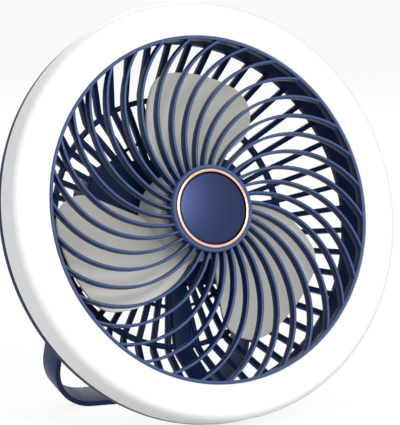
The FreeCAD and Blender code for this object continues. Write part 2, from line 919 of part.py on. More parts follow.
def make_rear_grille():
    """The frame fused with a ring of spokes, all cut short where the case passes through."""
    frame, spoke = grille_frame(), single_spoke()
    opening = rounded_block(0, 0, case_floor.value, s.dish_back.value + s.collar_depth.value,
                            2 * opening_x.value, 2 * opening_z.value, (s.case_corner + s.fit_gap).value)
    count = int(s.spoke_count.value)
    spokes = [about_axis(spoke.Shape, 360 * i / count).cut(opening) for i in range(count)]
    feature_piece("rear_grille", frame.Shape.cut(opening).multiFuse(spokes).removeSplitter())


def rounded_block(x, z, front, back, width, height, corner):
    """A box with rounded corners across the disc, in plain numbers."""
    blank = block(x, z, front, back, width, height)
    long_edges = [edge for edge in blank.Edges if abs(edge.tangentAt(edge.FirstParameter).y) > 0.9]
    return blank.makeFillet(corner, long_edges)


# Battery case, its contents and its cover

def make_battery_case():
    body = new_body("battery_case")
    floor = case_floor
    inner_x, inner_z = case_half_width - s.case_wall, case_half_height - s.case_wall
    inner_corner = s.case_corner - s.case_wall
    pad(body, s.case_front, case_back, rectangle(case_half_width, case_half_height, s.case_corner))
    pocket(body, floor, case_back + s.case_wall, rectangle(inner_x, inner_z, inner_corner))
    pad(body, s.case_front, floor,
        rectangle(case_half_width + s.case_lip, case_half_height + s.case_lip, s.case_corner + s.case_lip))
    pad(body, s.pedestal_front, floor, circle=(0, 0, s.pedestal_radius))
    pocket(body, s.pedestal_front - s.case_wall, floor + s.case_wall, circles=[(0, 0, s.pedestal_bore)])
    for x in (-post_x, post_x):
        for z in (-post_z, post_z):
            pad(body, s.case_front, pcb_front, circle=(x, z, s.post_radius))
    for side in (-1, 1):
        edges = sorted((side * (s.cradle_x + s.cradle_wall), side * s.cradle_x), key=lambda e: e.value)
        side_pad(body, "YZ_Plane", edges[0], edges[1], [
            (s.case_front, -cell_stack_half),
            (cell_back - s.cell_radius / 3, -cell_stack_half),
            (cell_back - s.cell_radius / 3, cell_stack_half),
            (s.case_front, cell_stack_half),
        ])
    cells = range(int(s.cell_count.value))
    side_cut(body, "YZ_Plane", -(s.cradle_x + 2 * s.cradle_wall), s.cradle_x + 2 * s.cradle_wall,
             circles=[(cell_back, (i - (s.cell_count - 1) / 2) * cell_pitch, s.cell_radius + s.fit_gap)
                      for i in cells])
    for side in (-1, 1):
        inner_end, outer_end = side * (case_half_width - s.pivot_boss_depth), side * boss_face
        low, high = sorted((inner_end, outer_end), key=lambda e: e.value)
        side_pad(body, "YZ_Plane", low, high, circles=[(pivot_back, -s.pivot_drop, s.pivot_boss_radius)])
        tip = side * (boss_face - s.pivot_thread_length)
        low, high = sorted((tip, outer_end), key=lambda e: e.value)
        side_cut(body, "YZ_Plane", low, high, circles=[(pivot_back, -s.pivot_drop, s.pivot_thread_radius)])
    pocket(body, pcb_front - s.screw_length, pcb_front + s.case_wall,
           circles=[(x, z, s.pilot_radius) for x in (-post_x, post_x) for z in (-post_z, post_z)])
    slot_x, slot_y = s.port_width / 2 + s.port_gap, s.port_height / 2 + s.port_gap
    port = new_sketch(body, "XY_Plane", -(case_half_height - 2 * s.case_wall))
    draw_outline(port, rectangle(slot_x, slot_y, slot_y * 0.8, y=port_back))
    cut = body.newObject("PartDesign::Pocket", "battery_case_port")
    cut.Profile = port
    bind(cut, "Length", 3 * s.case_wall)
    must_cut(body, cut)
    place(body)


def make_battery_cells():
    """Three round cells lying across the case, each with its raised button end."""
    half = s.cell_length.value / 2
    cells = []
    for i in range(int(s.cell_count.value)):
        z = (i - (s.cell_count.value - 1) / 2) * cell_pitch.value
        can = cross_rod(cell_back.value, z, -half, half - s.cell_cap_height.value, s.cell_radius.value)
        cap = cross_rod(cell_back.value, z, half - s.cell_cap_height.value, half, s.cell_cap_radius.value)
        cells.append(can.fuse(cap))
    feature_piece("battery_cells", Part.makeCompound(cells))


def make_control_board():
    body = new_body("control_board")
    half_width = case_half_width - s.case_wall - s.pcb_side_gap
    half_height = case_half_height - s.case_wall - s.pcb_end_gap
    pad(body, pcb_front, pcb_back, rectangle(half_width, half_height, s.pcb_corner))
    pocket(body, pcb_front - s.case_wall, pcb_back + s.case_wall,
           circles=[(x, z, s.shank_radius + s.shank_gap)
                    for x in (-post_x, post_x) for z in (-post_z, post_z)])
    place(body)


def make_press_switches():
    """A small square switch with a round plunger behind each button."""
    switches = []
    for side in (-1, 1):
        x, z = side * s.button_x.value, s.button_z.value
        top = (plunger_back - s.plunger_height).value
        box = block(x, z, pcb_back.value, top, s.switch_side.value, s.switch_side.value)
        switches.append(box.fuse(rod(x, z, top, plunger_back.value, s.plunger_radius.value)))
    feature_piece("press_switches", Part.makeCompound(switches))


def make_indicator_leds():
    """One small lamp on the board behind each dot of the light guide."""
    lamps = []
    for i in range(int(s.dot_count.value)):
        x = (i - (s.dot_count.value - 1) / 2) * s.dot_pitch.value
        lamps.append(block(x, s.dot_z.value, pcb_back.value, pcb_back.value + s.chip_height.value,
                           s.chip_width.value, s.chip_width.value))
    feature_piece("indicator_leds", Part.makeCompound(lamps))


def make_light_guide():
    body = new_body("light_guide")
    span = (s.dot_count - 1) * s.dot_pitch / 2
    back = cover_front - s.seat_gap
    margin = s.dot_radius + s.guide_wall
    pad(body, back - s.guide_wall, back, rectangle(span + margin, margin, s.dot_radius, y=s.dot_z))
    first = pad(body, back - s.guide_wall / 2, cover_back - s.seat_gap, circle=(-span, s.dot_z, s.dot_radius))
    row = body.newObject("PartDesign::LinearPattern", "light_guide_row")
    row.Originals = [first]
    row.Direction = (plane_of(body, "X_Axis"), [""])
    bind(row, "Length", 2 * span)
    bind(row, "Occurrences", s.dot_count)
    body.Tip = row
    place(body)


def make_usb_socket():
    """A flat metal shell with its mouth in the case's lower wall and a tongue inside."""
    mouth = -(case_half_height - s.case_wall / 2).value
    width, height = s.port_width.value, s.port_height.value
    shell = flat_tube(width, height, mouth, s.port_length.value, height * 0.45)
    wall = s.port_wall.value
    room = s.port_length.value
    hollow = flat_tube(width - 2 * wall, height - 2 * wall, mouth - wall, room, (height - 2 * wall) * 0.45)
    tongue = Part.makeBox(width * 0.7, height * 0.2, room * 0.8,
                          Vector(-width * 0.35, port_back.value - height * 0.1, mouth + room * 0.15))
    feature_piece("usb_socket", shell.cut(hollow).fuse(tongue))


def flat_tube(width, height, low, length, corner):
    """A round-cornered bar standing up from a level, centred on the port, in plain numbers."""
    bar = Part.makeBox(width, height, length, Vector(-width / 2, port_back.value - height / 2, low))
    long_edges = [edge for edge in bar.Edges if abs(edge.tangentAt(edge.FirstParameter).z) > 0.9]
    return bar.makeFillet(corner, long_edges)


def make_case_cover():
    body = new_body("case_cover")
    plate = pad(body, cover_front, cover_back, rectangle(case_half_width, case_half_height, s.case_corner))
    doc.recompute()
    rim = body.newObject("PartDesign::Fillet", "case_cover_round")
    rim.Base = (plate, [face_name(plate.Shape, cover_back.value)])
    bind(rim, "Radius", s.cover_round)
    inner_x = case_half_width - s.case_wall - s.fit_gap
    inner_z = case_half_height - s.case_wall - s.fit_gap
    inner_corner = s.case_corner - s.case_wall - s.fit_gap
    skirt = new_sketch(body, "XZ_Plane", -(cover_front - s.skirt_depth))
    draw_outline(skirt, rectangle(inner_x, inner_z, inner_corner))
    draw_outline(skirt, rectangle(inner_x - s.skirt_wall, inner_z - s.skirt_wall, inner_corner - s.skirt_wall))
    lip = body.newObject("PartDesign::Pad", "case_cover_skirt")
    lip.Profile = skirt
    lip.Reversed = True
    bind(lip, "Length", s.skirt_depth + s.cover_thickness / 2)
    notch_x, notch_z = s.port_width / 2 + s.port_gap, s.skirt_wall + s.fit_gap
    pocket(body, cover_front - s.skirt_depth - s.seat_gap, cover_front, rectangle(notch_x, notch_z, y=-inner_z))
    for x in (-post_x, post_x):
        for z in (-post_z, post_z):
            pad(body, pcb_back + s.seat_gap, cover_back - s.cover_thickness / 2, circle=(x, z, s.post_radius))
    corners = [(x, z) for x in (-post_x, post_x) for z in (-post_z, post_z)]
    pocket(body, pcb_front, cover_back + s.case_wall,
           circles=[(x, z, s.shank_radius + s.shank_gap) for x, z in corners])
    pocket(body, cover_head_front, cover_back + s.case_wall,
           circles=[(x, z, s.screw_head_radius + s.shank_gap) for x, z in corners])
    pocket(body, pcb_back, cover_back + s.case_wall,
           circles=[(side * s.button_x, s.button_z, s.button_radius + s.button_gap) for side in (-1, 1)])
    span = (s.dot_count - 1) * s.dot_pitch / 2
    pocket(body, pcb_back, cover_back + s.case_wall,
           circles=[(i * s.dot_pitch - span, s.dot_z, s.dot_radius + s.dot_gap)
                    for i in range(int(s.dot_count.value))])
    place(body)


def face_name(shape, back):
    """The name of the flat face that lies at one depth along the fan's axis."""
    for i, face in enumerate(shape.Faces, start=1):
        box = face.BoundBox
        if abs(box.YMin - back) < 1e-4 and abs(box.YMax - back) < 1e-4:
            return f"Face{i}"
    raise LookupError(f"no face at {back}")


def make_cover_screws():
    screws = [screw(x, z, (cover_head_front + s.screw_head_height).value, s.cover_screw_length.value)
              for x in (-post_x.value, post_x.value) for z in (-post_z.value, post_z.value)]
    feature_piece("cover_screws", Part.makeCompound(screws))


def make_button(label, side):
    body = new_body(label)
    x = side * s.button_x
    flange = s.button_radius + s.button_lip
    pad(body, button_lip_front, cover_front - s.fit_gap, circle=(x, s.button_z, flange))
    cap = pad(body, cover_front - s.fit_gap - s.button_lip_wall / 2, cover_back + s.button_proud,
              circle=(x, s.button_z, s.button_radius))
    doc.recompute()
    rim = body.newObject("PartDesign::Fillet", f"{label}_round")
    rim.Base = (cap, [face_name(cap.Shape, (cover_back + s.button_proud).value)])
    bind(rim, "Radius", s.button_round)
    place(body)


# Motor

def make_bearing_sleeve():
    body = new_body("bearing_sleeve")
    revolve(body, [
        (sleeve_bore, s.sleeve_front),
        (s.sleeve_radius, s.sleeve_front),
        (s.sleeve_radius, sleeve_base),
        (s.sleeve_flange_radius, sleeve_base),
        (s.sleeve_flange_radius, sleeve_back),
        (sleeve_bore, sleeve_back),
    ])
    place(body)


def make_ball_bearings():
    """A small ball bearing at each end of the sleeve, drawn as its closed outer shape."""
    rings = []
    for front in (s.sleeve_front, sleeve_back - s.bearing_width):
        ring = rod(0, 0, front.value, (front + s.bearing_width).value, s.bearing_radius.value)
        bore = rod(0, 0, front.value - 1, (front + s.bearing_width).value + 1, s.bearing_bore.value)
        rings.append(ring.cut(bore))
    feature_piece("ball_bearings", Part.makeCompound(rings))


def make_stator_core():
    """Laminated core: a ring on the sleeve and T-shaped teeth."""
    front, back = s.stator_front.value, (s.stator_front + s.stator_length).value
    core = rod(0, 0, front, back, s.stator_root.value)
    tooth_length = s.stator_radius.value - s.sleeve_radius.value
    stem = block(0, s.sleeve_radius.value + tooth_length / 2, front, back, s.tooth_width.value, tooth_length)
    pitch = 360 / s.tooth_count.value
    tip = rod(0, 0, front, back, s.stator_radius.value).cut(
        rod(0, 0, front - 1, back + 1, (s.stator_radius - s.tooth_tip).value))
    tip_width = 2 * s.stator_radius.value * math.tan(math.radians(pitch * s.tooth_spread.value / 2))
    tip = tip.common(block(0, s.stator_radius.value, front, back, tip_width, 4 * s.tooth_tip.value))
    tooth = stem.common(rod(0, 0, front, back, s.stator_radius.value)).fuse(tip)
    core = core.multiFuse([about_axis(tooth, pitch * i) for i in range(int(s.tooth_count.value))])
    bore = rod(0, 0, front - 1, back + 1, (s.sleeve_radius + s.press_gap).value)
    feature_piece("stator_core", core.cut(bore).removeSplitter())


def make_stator_coils():
    """One wound coil round each tooth."""
    wall, inset = s.coil_wall.value, s.coil_inset.value
    front, back = s.stator_front.value, (s.stator_front + s.stator_length).value
    low = s.stator_root.value + inset
    high = (s.stator_radius - s.tooth_tip).value - inset
    middle, length = (low + high) / 2, high - low
    width = s.tooth_width.value + 2 * s.press_gap.value
    outer = block(0, middle, front - wall, back + wall, width + 2 * wall, length)
    hole = block(0, middle, front - s.press_gap.value, back + s.press_gap.value, width, length + 2)
    coil = outer.cut(hole)
    count = int(s.tooth_count.value)
    feature_piece("stator_coils", Part.makeCompound([about_axis(coil, 360 * i / count) for i in range(count)]))


def make_motor_board():
    body = new_body("motor_board")
    back = sleeve_base
    revolve(body, [
        (s.sleeve_radius + s.fit_gap, back - s.motor_board_wall),
        (s.motor_board_radius, back - s.motor_board_wall),
        (s.motor_board_radius, back),
        (s.sleeve_radius + s.fit_gap, back),
    ])
    place(body)


def make_rotor_cup():
    body = new_body("rotor_cup")
    revolve(body, [
        (s.shaft_radius + s.press_gap, s.cup_front),
        (s.cup_radius, s.cup_front, s.cup_wall),
        (s.cup_radius, s.cup_back),
        (magnet_outer, s.cup_back),
        (magnet_outer, s.cup_front + s.cup_wall),
        (s.shaft_radius + s.press_gap, s.cup_front + s.cup_wall),
    ])
    place(body)


def make_magnet_ring():
    body = new_body("magnet_ring")
    outer = magnet_outer - s.press_gap
    revolve(body, [
        (outer - s.magnet_wall, s.magnet_front),
        (outer, s.magnet_front),
        (outer, s.cup_back - s.cup_wall / 2),
        (outer - s.magnet_wall, s.cup_back - s.cup_wall / 2),
    ])
    place(body)


def make_motor_shaft():
    """The shaft, grooved at its rear end for the clip."""
    body = new_body("motor_shaft")
    groove = s.shaft_radius - s.clip_bite
    clip_front = sleeve_back + s.fit_gap
    revolve(body, [
        (0, s.nose_front + s.fit_gap),
        (s.shaft_radius, s.nose_front + s.fit_gap),
        (s.shaft_radius, clip_front),
        (groove, clip_front),
        (groove, clip_front + s.clip_wall),
        (s.shaft_radius, clip_front + s.clip_wall),
        (s.shaft_radius, clip_front + 2 * s.clip_wall),
        (0, clip_front + 2 * s.clip_wall),
    ])
    place(body)


def make_shaft_clip():
    body = new_body("shaft_clip")
    clip_front = sleeve_back + s.fit_gap
    inner = s.shaft_radius - s.clip_bite + s.press_gap
    revolve(body, [
        (inner, clip_front + s.press_gap),
        (s.clip_radius, clip_front + s.press_gap),
        (s.clip_radius, clip_front + s.clip_wall - s.press_gap),
        (inner, clip_front + s.clip_wall - s.press_gap),
    ])
    place(body)


# Impeller

def impeller_hub():
    """The hub: a cup over the rotor, with a boss that grips the shaft."""
    body = new_body("impeller_hub")
    inner = s.cup_radius + s.fit_gap / 2
    floor = s.cup_front - s.fit_gap / 2
    revolve(body, [
        (s.shaft_radius + s.press_gap, s.nose_front),
        (s.nose_radius, s.nose_front),
        (s.nose_radius, s.impeller_front),
        (s.impeller_radius, s.impeller_front, s.impeller_round),
        (s.impeller_radius, s.impeller_back),
        (inner, s.impeller_back),
        (inner, floor),
        (s.shaft_radius + s.press_gap, floor),
    ])
    doc.recompute()
    return body.Shape


def blade_outline():
    """The blade as seen from the front, drawn about its own upright line and given depth."""
    reach, tip = s.blade_lead_reach.value, blade_tip_radius.value
    inner = (s.impeller_radius + magnet_outer).value / 2
    lead_root = Vector(-s.blade_lead_root.value, 0, inner / 2)
    lead_mid = Vector(-reach, 0, tip * 0.52)
    lead_tip = Vector(-s.blade_lead_tip.value, 0, math.sqrt(tip ** 2 - s.blade_lead_tip.value ** 2))
    trail_tip = Vector(s.blade_trail_tip.value, 0, s.blade_trail_height.value)
    trail_root = Vector(s.blade_trail_root.value, 0, inner * 0.8)
    top = Vector(0, 0, tip)
    reach_scale = tip / trail_tip.Length
    trail_tip = trail_tip * reach_scale
    edges = [
        Part.Arc(lead_root, lead_mid, lead_tip).toShape(),
        Part.Arc(lead_tip, top, trail_tip).toShape(),
        Part.LineSegment(trail_tip, trail_root).toShape(),
        Part.LineSegment(trail_root, lead_root).toShape(),
    ]
    prism = Part.Face(Part.Wire(edges)).extrude(Vector(0, 2 * s.impeller_back.value, 0))
    for corner, radius in ((lead_tip, s.blade_lead_round.value), (trail_tip, s.blade_trail_round.value)):
        edge = [e for e in prism.Edges
                if all(abs(v.X - corner.x) + abs(v.Z - corner.z) < 1e-4 for v in e.Vertexes)]
        prism = prism.makeFillet(radius, edge)
    return prism


def blade_sheet():
    """A screw-shaped sheet, nearer the front on its leading side, that the outline cuts a blade from."""
    span = s.blade_span.value
    steps = 6
    inner, outer = magnet_outer.value + s.cup_wall.value, blade_tip_radius.value * 1.05
    depth = s.blade_back.value - s.blade_front.value - s.blade_wall.value
    sections = []
    for i in range(steps + 1):
        share = i / steps
        angle = math.radians(-span / 2 + span * share)
        front = s.blade_front.value + depth * share
        out = Vector(math.sin(angle), 0, math.cos(angle))
        corners = [out * inner, out * outer]
        ring = [corners[0] + Vector(0, front, 0), corners[1] + Vector(0, front, 0),
                corners[1] + Vector(0, front + s.blade_wall.value, 0),
                corners[0] + Vector(0, front + s.blade_wall.value, 0)]
        sections.append(Part.makePolygon(ring + ring[:1]))
    return Part.makeLoft(sections, True, False)


def make_impeller():
    blade = blade_sheet().common(blade_outline())
    count = int(s.blade_count.value)
    blades = [about_axis(blade, s.blade_turn.value + 360 * i / count) for i in range(count)]
    inner = (s.cup_radius + s.fit_gap / 2).value
    well = rod(0, 0, s.cup_front.value, 2 * s.impeller_back.value, inner)
    blades = [one.cut(well) for one in blades]
    feature_piece("impeller", impeller_hub().multiFuse(blades).removeSplitter())


# Bail and its pivots

def make_bail():
    """The bent strap, drawn hanging straight down from its pivots and then swung back."""
    body = new_body("bail")
    out, thick = s.bail_half_width, s.bail_thickness
    low = -(s.bail_reach + thick / 2)
    inner_corner = s.bail_corner - thick
    pad(body, -s.bail_strap / 2, s.bail_strap / 2, [
        (-out, low, s.bail_corner),
        (out, low, s.bail_corner),
        (out, 0),
        (out - thick, 0),
        (out - thick, low + thick, inner_corner),
        (-out + thick, low + thick, inner_corner),
        (-out + thick, 0),
        (-out, 0),
    ])
    side_pad(body, "YZ_Plane", arm_inner, out, circles=[(0, 0, s.bail_strap / 2)])
    strap = side_pad(body, "YZ_Plane", -out, -arm_inner, circles=[(0, 0, s.bail_strap / 2)])
    doc.recompute()
    softened = body.newObject("PartDesign::Fillet", "bail_edges")
    softened.Base = (strap, long_rims(strap.Shape))
    bind(softened, "Radius", s.edge_round)
    side_cut(body, "YZ_Plane", -2 * out, 2 * out, circles=[(0, 0, s.shoulder_radius + s.pivot_gap)])
    place(body, turn=s.bail_angle, base_y=pivot_back, base_z=-s.pivot_drop)


def long_rims(shape):
    """Names of one edge on the strap's outer rim and one on its inner rim; each rim is a closed loop."""
    half = s.bail_strap.value / 2
    low = -(s.bail_reach + s.bail_thickness / 2).value
    names = []
    for level in (low, low + s.bail_thickness.value):
        for i, edge in enumerate(shape.Edges, start=1):
            box = edge.BoundBox
            flat = abs(box.ZMin - level) < 1e-4 and abs(box.ZMax - level) < 1e-4
            if flat and abs(box.YMin - half) < 1e-4 and box.XLength > half:
                names.append(f"Edge{i}")
    return names


def make_pivot_screws():
    """A shoulder screw at each side: domed head, smooth shoulder in the arm, thread in the boss."""
    y, z = pivot_back.value, -s.pivot_drop.value
    face, head_in = boss_face.value, head_inner.value
    head_out = head_in + s.pivot_head_height.value
    tip = face - s.pivot_thread_length.value + s.fit_gap.value
    shoulder = cross_rod(y, z, face, head_in, s.shoulder_radius.value)
    thread = cross_rod(y, z, tip, face, s.pivot_thread_radius.value - s.press_gap.value)
    head = cross_rod(y, z, head_in, head_out, s.pivot_head_radius.value)
    rim = [edge for edge in head.Edges if abs(edge.BoundBox.XMin - head_out) < 1e-3]
    head = head.makeFillet(s.pivot_head_height.value * 0.6, rim[:1])
    right = head.fuse(shoulder).fuse(thread).removeSplitter()
    left = right.mirror(Vector(0, 0, 0), Vector(1, 0, 0))
    feature_piece("pivot_screws", Part.makeCompound([right, left]))


def make_friction_washers():
    y, z = pivot_back.value, -s.pivot_drop.value
    disc = cross_rod(y, z, boss_face.value, washer_outer.value, s.pivot_boss_radius.value)
    hole = cross_rod(y, z, boss_face.value - 1, washer_outer.value + 1, s.shoulder_radius.value + s.pivot_gap.value)
    right = disc.cut(hole)
    feature_piece("friction_washers", Part.makeCompound([right, right.mirror(Vector(0, 0, 0), Vector(1, 0, 0))]))


# Build, check and write

def build_all():
    make_light_diffuser()
    make_led_board()
    make_led_chips()
    make_duct_ring()
    make_rear_shell()
    make_ring_screws()
    make_front_grille()
    make_hub_trim_ring()
    make_hub_cap()
    make_rear_grille()
    make_battery_case()
    make_battery_cells()
    make_control_board()
    make_press_switches()
    make_indicator_leds()
    make_light_guide()
    make_usb_socket()
    make_case_cover()
    make_cover_screws()
    make_button("fan_button", -1)
    make_button("light_button", 1)
    make_bearing_sleeve()
    make_ball_bearings()
    make_stator_core()
    make_stator_coils()
    make_motor_board()
    make_rotor_cup()
    make_magnet_ring()
    make_motor_shaft()
    make_shaft_clip()
    make_impeller()
    make_bail()
    make_pivot_screws()
    make_friction_washers()


def check_all():
    """Stop if any object failed, or any piece is empty or broken."""
    for item in doc.Objects:
        if "Invalid" in item.State or "Error" in item.State:
            raise RuntimeError(f"{item.Name} failed: {item.State}")
    for piece in made:
        if piece.Shape.isNull() or not piece.Shape.isValid() or not piece.Shape.Solids:
            raise RuntimeError(f"{piece.Label} has no sound shape")


def write_all():
    os.makedirs("parts", exist_ok=True)
    for piece in made:
        piece.Shape.exportStep(os.path.join("parts", f"{piece.Label}.step"))


build_all()
doc.recompute()
check_all()
write_all()
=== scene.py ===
"""The looks of a portable camping fan: a ring light, a spiral grille, a rear case and a bail."""

from __future__ import annotations

import json
import logging
import math
from abc import ABC, abstractmethod
from dataclasses import dataclass, field
from enum import Enum

import bmesh
import bpy
from mathutils import Matrix, Vector


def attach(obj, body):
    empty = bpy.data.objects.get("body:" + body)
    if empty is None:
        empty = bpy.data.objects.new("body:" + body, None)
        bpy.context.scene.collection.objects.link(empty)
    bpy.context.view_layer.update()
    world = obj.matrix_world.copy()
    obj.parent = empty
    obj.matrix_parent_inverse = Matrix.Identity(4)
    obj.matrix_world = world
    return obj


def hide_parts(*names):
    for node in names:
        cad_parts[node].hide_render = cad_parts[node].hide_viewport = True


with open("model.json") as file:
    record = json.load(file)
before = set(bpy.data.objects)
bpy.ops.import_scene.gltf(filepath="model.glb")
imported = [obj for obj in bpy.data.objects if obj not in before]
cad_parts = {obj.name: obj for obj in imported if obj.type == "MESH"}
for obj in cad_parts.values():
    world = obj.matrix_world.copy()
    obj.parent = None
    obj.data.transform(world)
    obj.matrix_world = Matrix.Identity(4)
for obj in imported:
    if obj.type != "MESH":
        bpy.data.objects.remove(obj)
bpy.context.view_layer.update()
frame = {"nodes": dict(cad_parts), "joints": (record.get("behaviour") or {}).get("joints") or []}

LOG = logging.getLogger("camping_fan")
MM = 0.001
TURN = 2 * math.pi
TINY = 1e-6
# The impeller's joint lies this far behind the front of the ring, in millimetres.
JOINT_DEPTH = 30.0

Point2 = tuple[float, float]
Corner = tuple[float, ...]
Outline = list[Point2]
Loop = list[Vector]
Ring = list[bmesh.types.BMVert]
Colour = tuple[float, float, float]


class Body(Enum):
    """The rigid bodies that a piece can ride on."""

    FAN = "fan_body"
    IMPELLER = "impeller"
    BAIL = "bail"
    FAN_BUTTON = "fan_button"
    LIGHT_BUTTON = "light_button"


class FanSpace:
    """The fan's own space in millimetres: across, back along its axis, and up its disc."""

    def __init__(self) -> None:
        """Read the fan's axis from the joint that the impeller turns on."""
        spin = next(joint for joint in frame["joints"] if joint["name"] == "impeller_spin")
        self.across = Vector((1.0, 0.0, 0.0))
        self.back = Vector(spin["axis"]).normalized()
        self.up = self.across.cross(self.back).normalized()
        self.origin = Vector(spin["pos_m"]) - self.back * (JOINT_DEPTH * MM)

    def matrix(self) -> Matrix:
        """Work out the way from the fan's own space to the frame.

        Returns:
            The matrix that takes fan millimetres to frame metres.
        """
        columns = [axis * MM for axis in (self.across, self.back, self.up)]
        rows = [[column[i] for column in columns] + [self.origin[i]] for i in range(3)]
        return Matrix(rows + [[0.0, 0.0, 0.0, 1.0]])

    def point(self, across: float, back: float, up: float) -> Vector:
        """Return a place of the fan's own space, in metres of the frame."""
        return self.matrix() @ Vector((across, back, up))


SPACE = FanSpace()


# Outlines


def rounded(corners: list[Corner], steps: int = 4) -> Outline:
    """Round the corners of a closed outline.

    Args:
        corners: (x, y), or (x, y, radius) where the corner is rounded.
        steps: how many chords each rounding takes.

    Returns:
        The outline's points in order.
    """
    points: Outline = []
    for index, corner in enumerate(corners):
        here = Vector(corner[:2])
        if len(corner) < 3:
            points.append((here.x, here.y))
            continue
        before = (Vector(corners[index - 1][:2]) - here).normalized()
        after = (Vector(corners[(index + 1) % len(corners)][:2]) - here).normalized()
        half = before.angle(after) / 2
        centre = here + (before + after).normalized() * (corner[2] / math.sin(half))
        start = here + before * (corner[2] / math.tan(half)) - centre
        sweep = math.pi - 2 * half
        sign = 1 if start.cross(here - centre) > 0 else -1
        for step in range(steps + 1):
            angle = sign * sweep * step / steps
            turned = Matrix.Rotation(angle, 2) @ start
            points.append((centre.x + turned.x, centre.y + turned.y))
    return points


def bar(width: float, low: float, high: float, low_edge: float, high_edge: float, steps: int = 3) -> Outline:
    """Draw a bar's section, centred on x = 0.

    Args:
        width: its width along x.
        low: where its lower side lies along y.
        high: where its upper side lies along y.
        low_edge: the radius of its two lower corners.
        high_edge: the radius of its two upper corners.
        steps: how many chords each rounding takes.

    Returns:
        The section's points in order.
    """
    half = width / 2
    return rounded([
        (-half, low, low_edge),
        (half, low, low_edge),
        (half, high, high_edge),
        (-half, high, high_edge),
    ], steps)


def circle(radius: float, steps: int) -> Outline:
    """Return a circle's points, clockwise from straight up."""
    angles = [TURN * index / steps for index in range(steps)]
    return [(radius * math.sin(angle), radius * math.cos(angle)) for angle in angles]


def at_depth(outline: Outline, back: float, centre: Point2 = (0.0, 0.0)) -> Loop:
    """Return an outline across the disc as a loop in the fan's own space, moved to a centre."""
    return [Vector((centre[0] + x, back, centre[1] + y)) for x, y in outline]


# Meshes


class Maker:
    """Gathers points and faces in fan millimetres and makes one piece of them."""

    def __init__(self) -> None:
        """Start with nothing."""
        self.mesh = bmesh.new()

    def loop(self, points: Loop) -> Ring:
        """Add the points and return them as vertices."""
        return [self.mesh.verts.new(point) for point in points]

    def bridge(self, first: Ring, second: Ring) -> None:
        """Join two closed loops with faces.

        Args:
            first: one loop's vertices; a single one makes a fan of triangles.
            second: the other loop's vertices.
        """
        count = max(len(first), len(second))
        for i in range(count):
            following = (i + 1) % count
            ring = [first[i % len(first)], first[following % len(first)]]
            ring += [second[following % len(second)], second[i % len(second)]]
            self.mesh.faces.new(list(dict.fromkeys(ring)))

    def sweep(self, stations: list[Loop], closed: bool = False) -> None:
        """Skin a row of closed loops.

        Args:
            stations: loops with the same number of points.
            closed: True joins the last loop to the first, and False caps both ends.
        """
        loops = [self.loop(station) for station in stations]
        for first, second in zip(loops, loops[1:]):
            self.bridge(first, second)
        if closed:
            self.bridge(loops[-1], loops[0])
            return
        for end in (loops[0], loops[-1]):
            self.mesh.faces.new(end)

    def lathe(
        self, profile: Outline, steps: int, centre: Point2 = (0.0, 0.0), solid: bool = True
    ) -> None:
        """Turn a (radius, back) profile about a line along the fan's axis.

        Args:
            profile: the profile's points; a radius of zero is a point on the axis.
            steps: how many facets go round.
            centre: the axis's place across and up the disc.
            solid: True when the profile is a closed outline clear of the axis.
        """
        loops = []
        for radius, back in profile:
            count = steps if radius > TINY else 1
            loops.append(self.loop(at_depth(circle(radius, count), back, centre)))
        for first, second in zip(loops, loops[1:]):
            self.bridge(first, second)
        if solid:
            self.bridge(loops[-1], loops[0])

    def piece(
        self, name: str, body: Body, crease: float = 35.0, matrix: Matrix | None = None
    ) -> bpy.types.Object:
        """Make the piece, in the frame's metres, and set it on its body.

        Args:
            name: the piece's name.
            body: the body that it rides on.
            crease: edges sharper than this many degrees stay crisp.
            matrix: from the piece's own millimetres to frame metres, where it isn't the fan's.

        Returns:
            The new object.
        """
        bmesh.ops.recalc_face_normals(self.mesh, faces=self.mesh.faces)
        data = bpy.data.meshes.new(name)
        self.mesh.to_mesh(data)
        self.mesh.free()
        data.transform(matrix or SPACE.matrix())
        data.shade_smooth()
        data.set_sharp_from_angle(angle=math.radians(crease))
        made = bpy.data.objects.new(name, data)
        bpy.context.scene.collection.objects.link(made)
        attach(made, body.value)
        return made


# Shaders


def tint(colour: Colour, share: float) -> Colour:
    """Return a colour made lighter or darker by a share of itself."""
    return tuple(min(1.0, part * share) for part in colour)


def grey(level: float) -> Colour:
    """Return a neutral colour."""
    return (level, level, level)


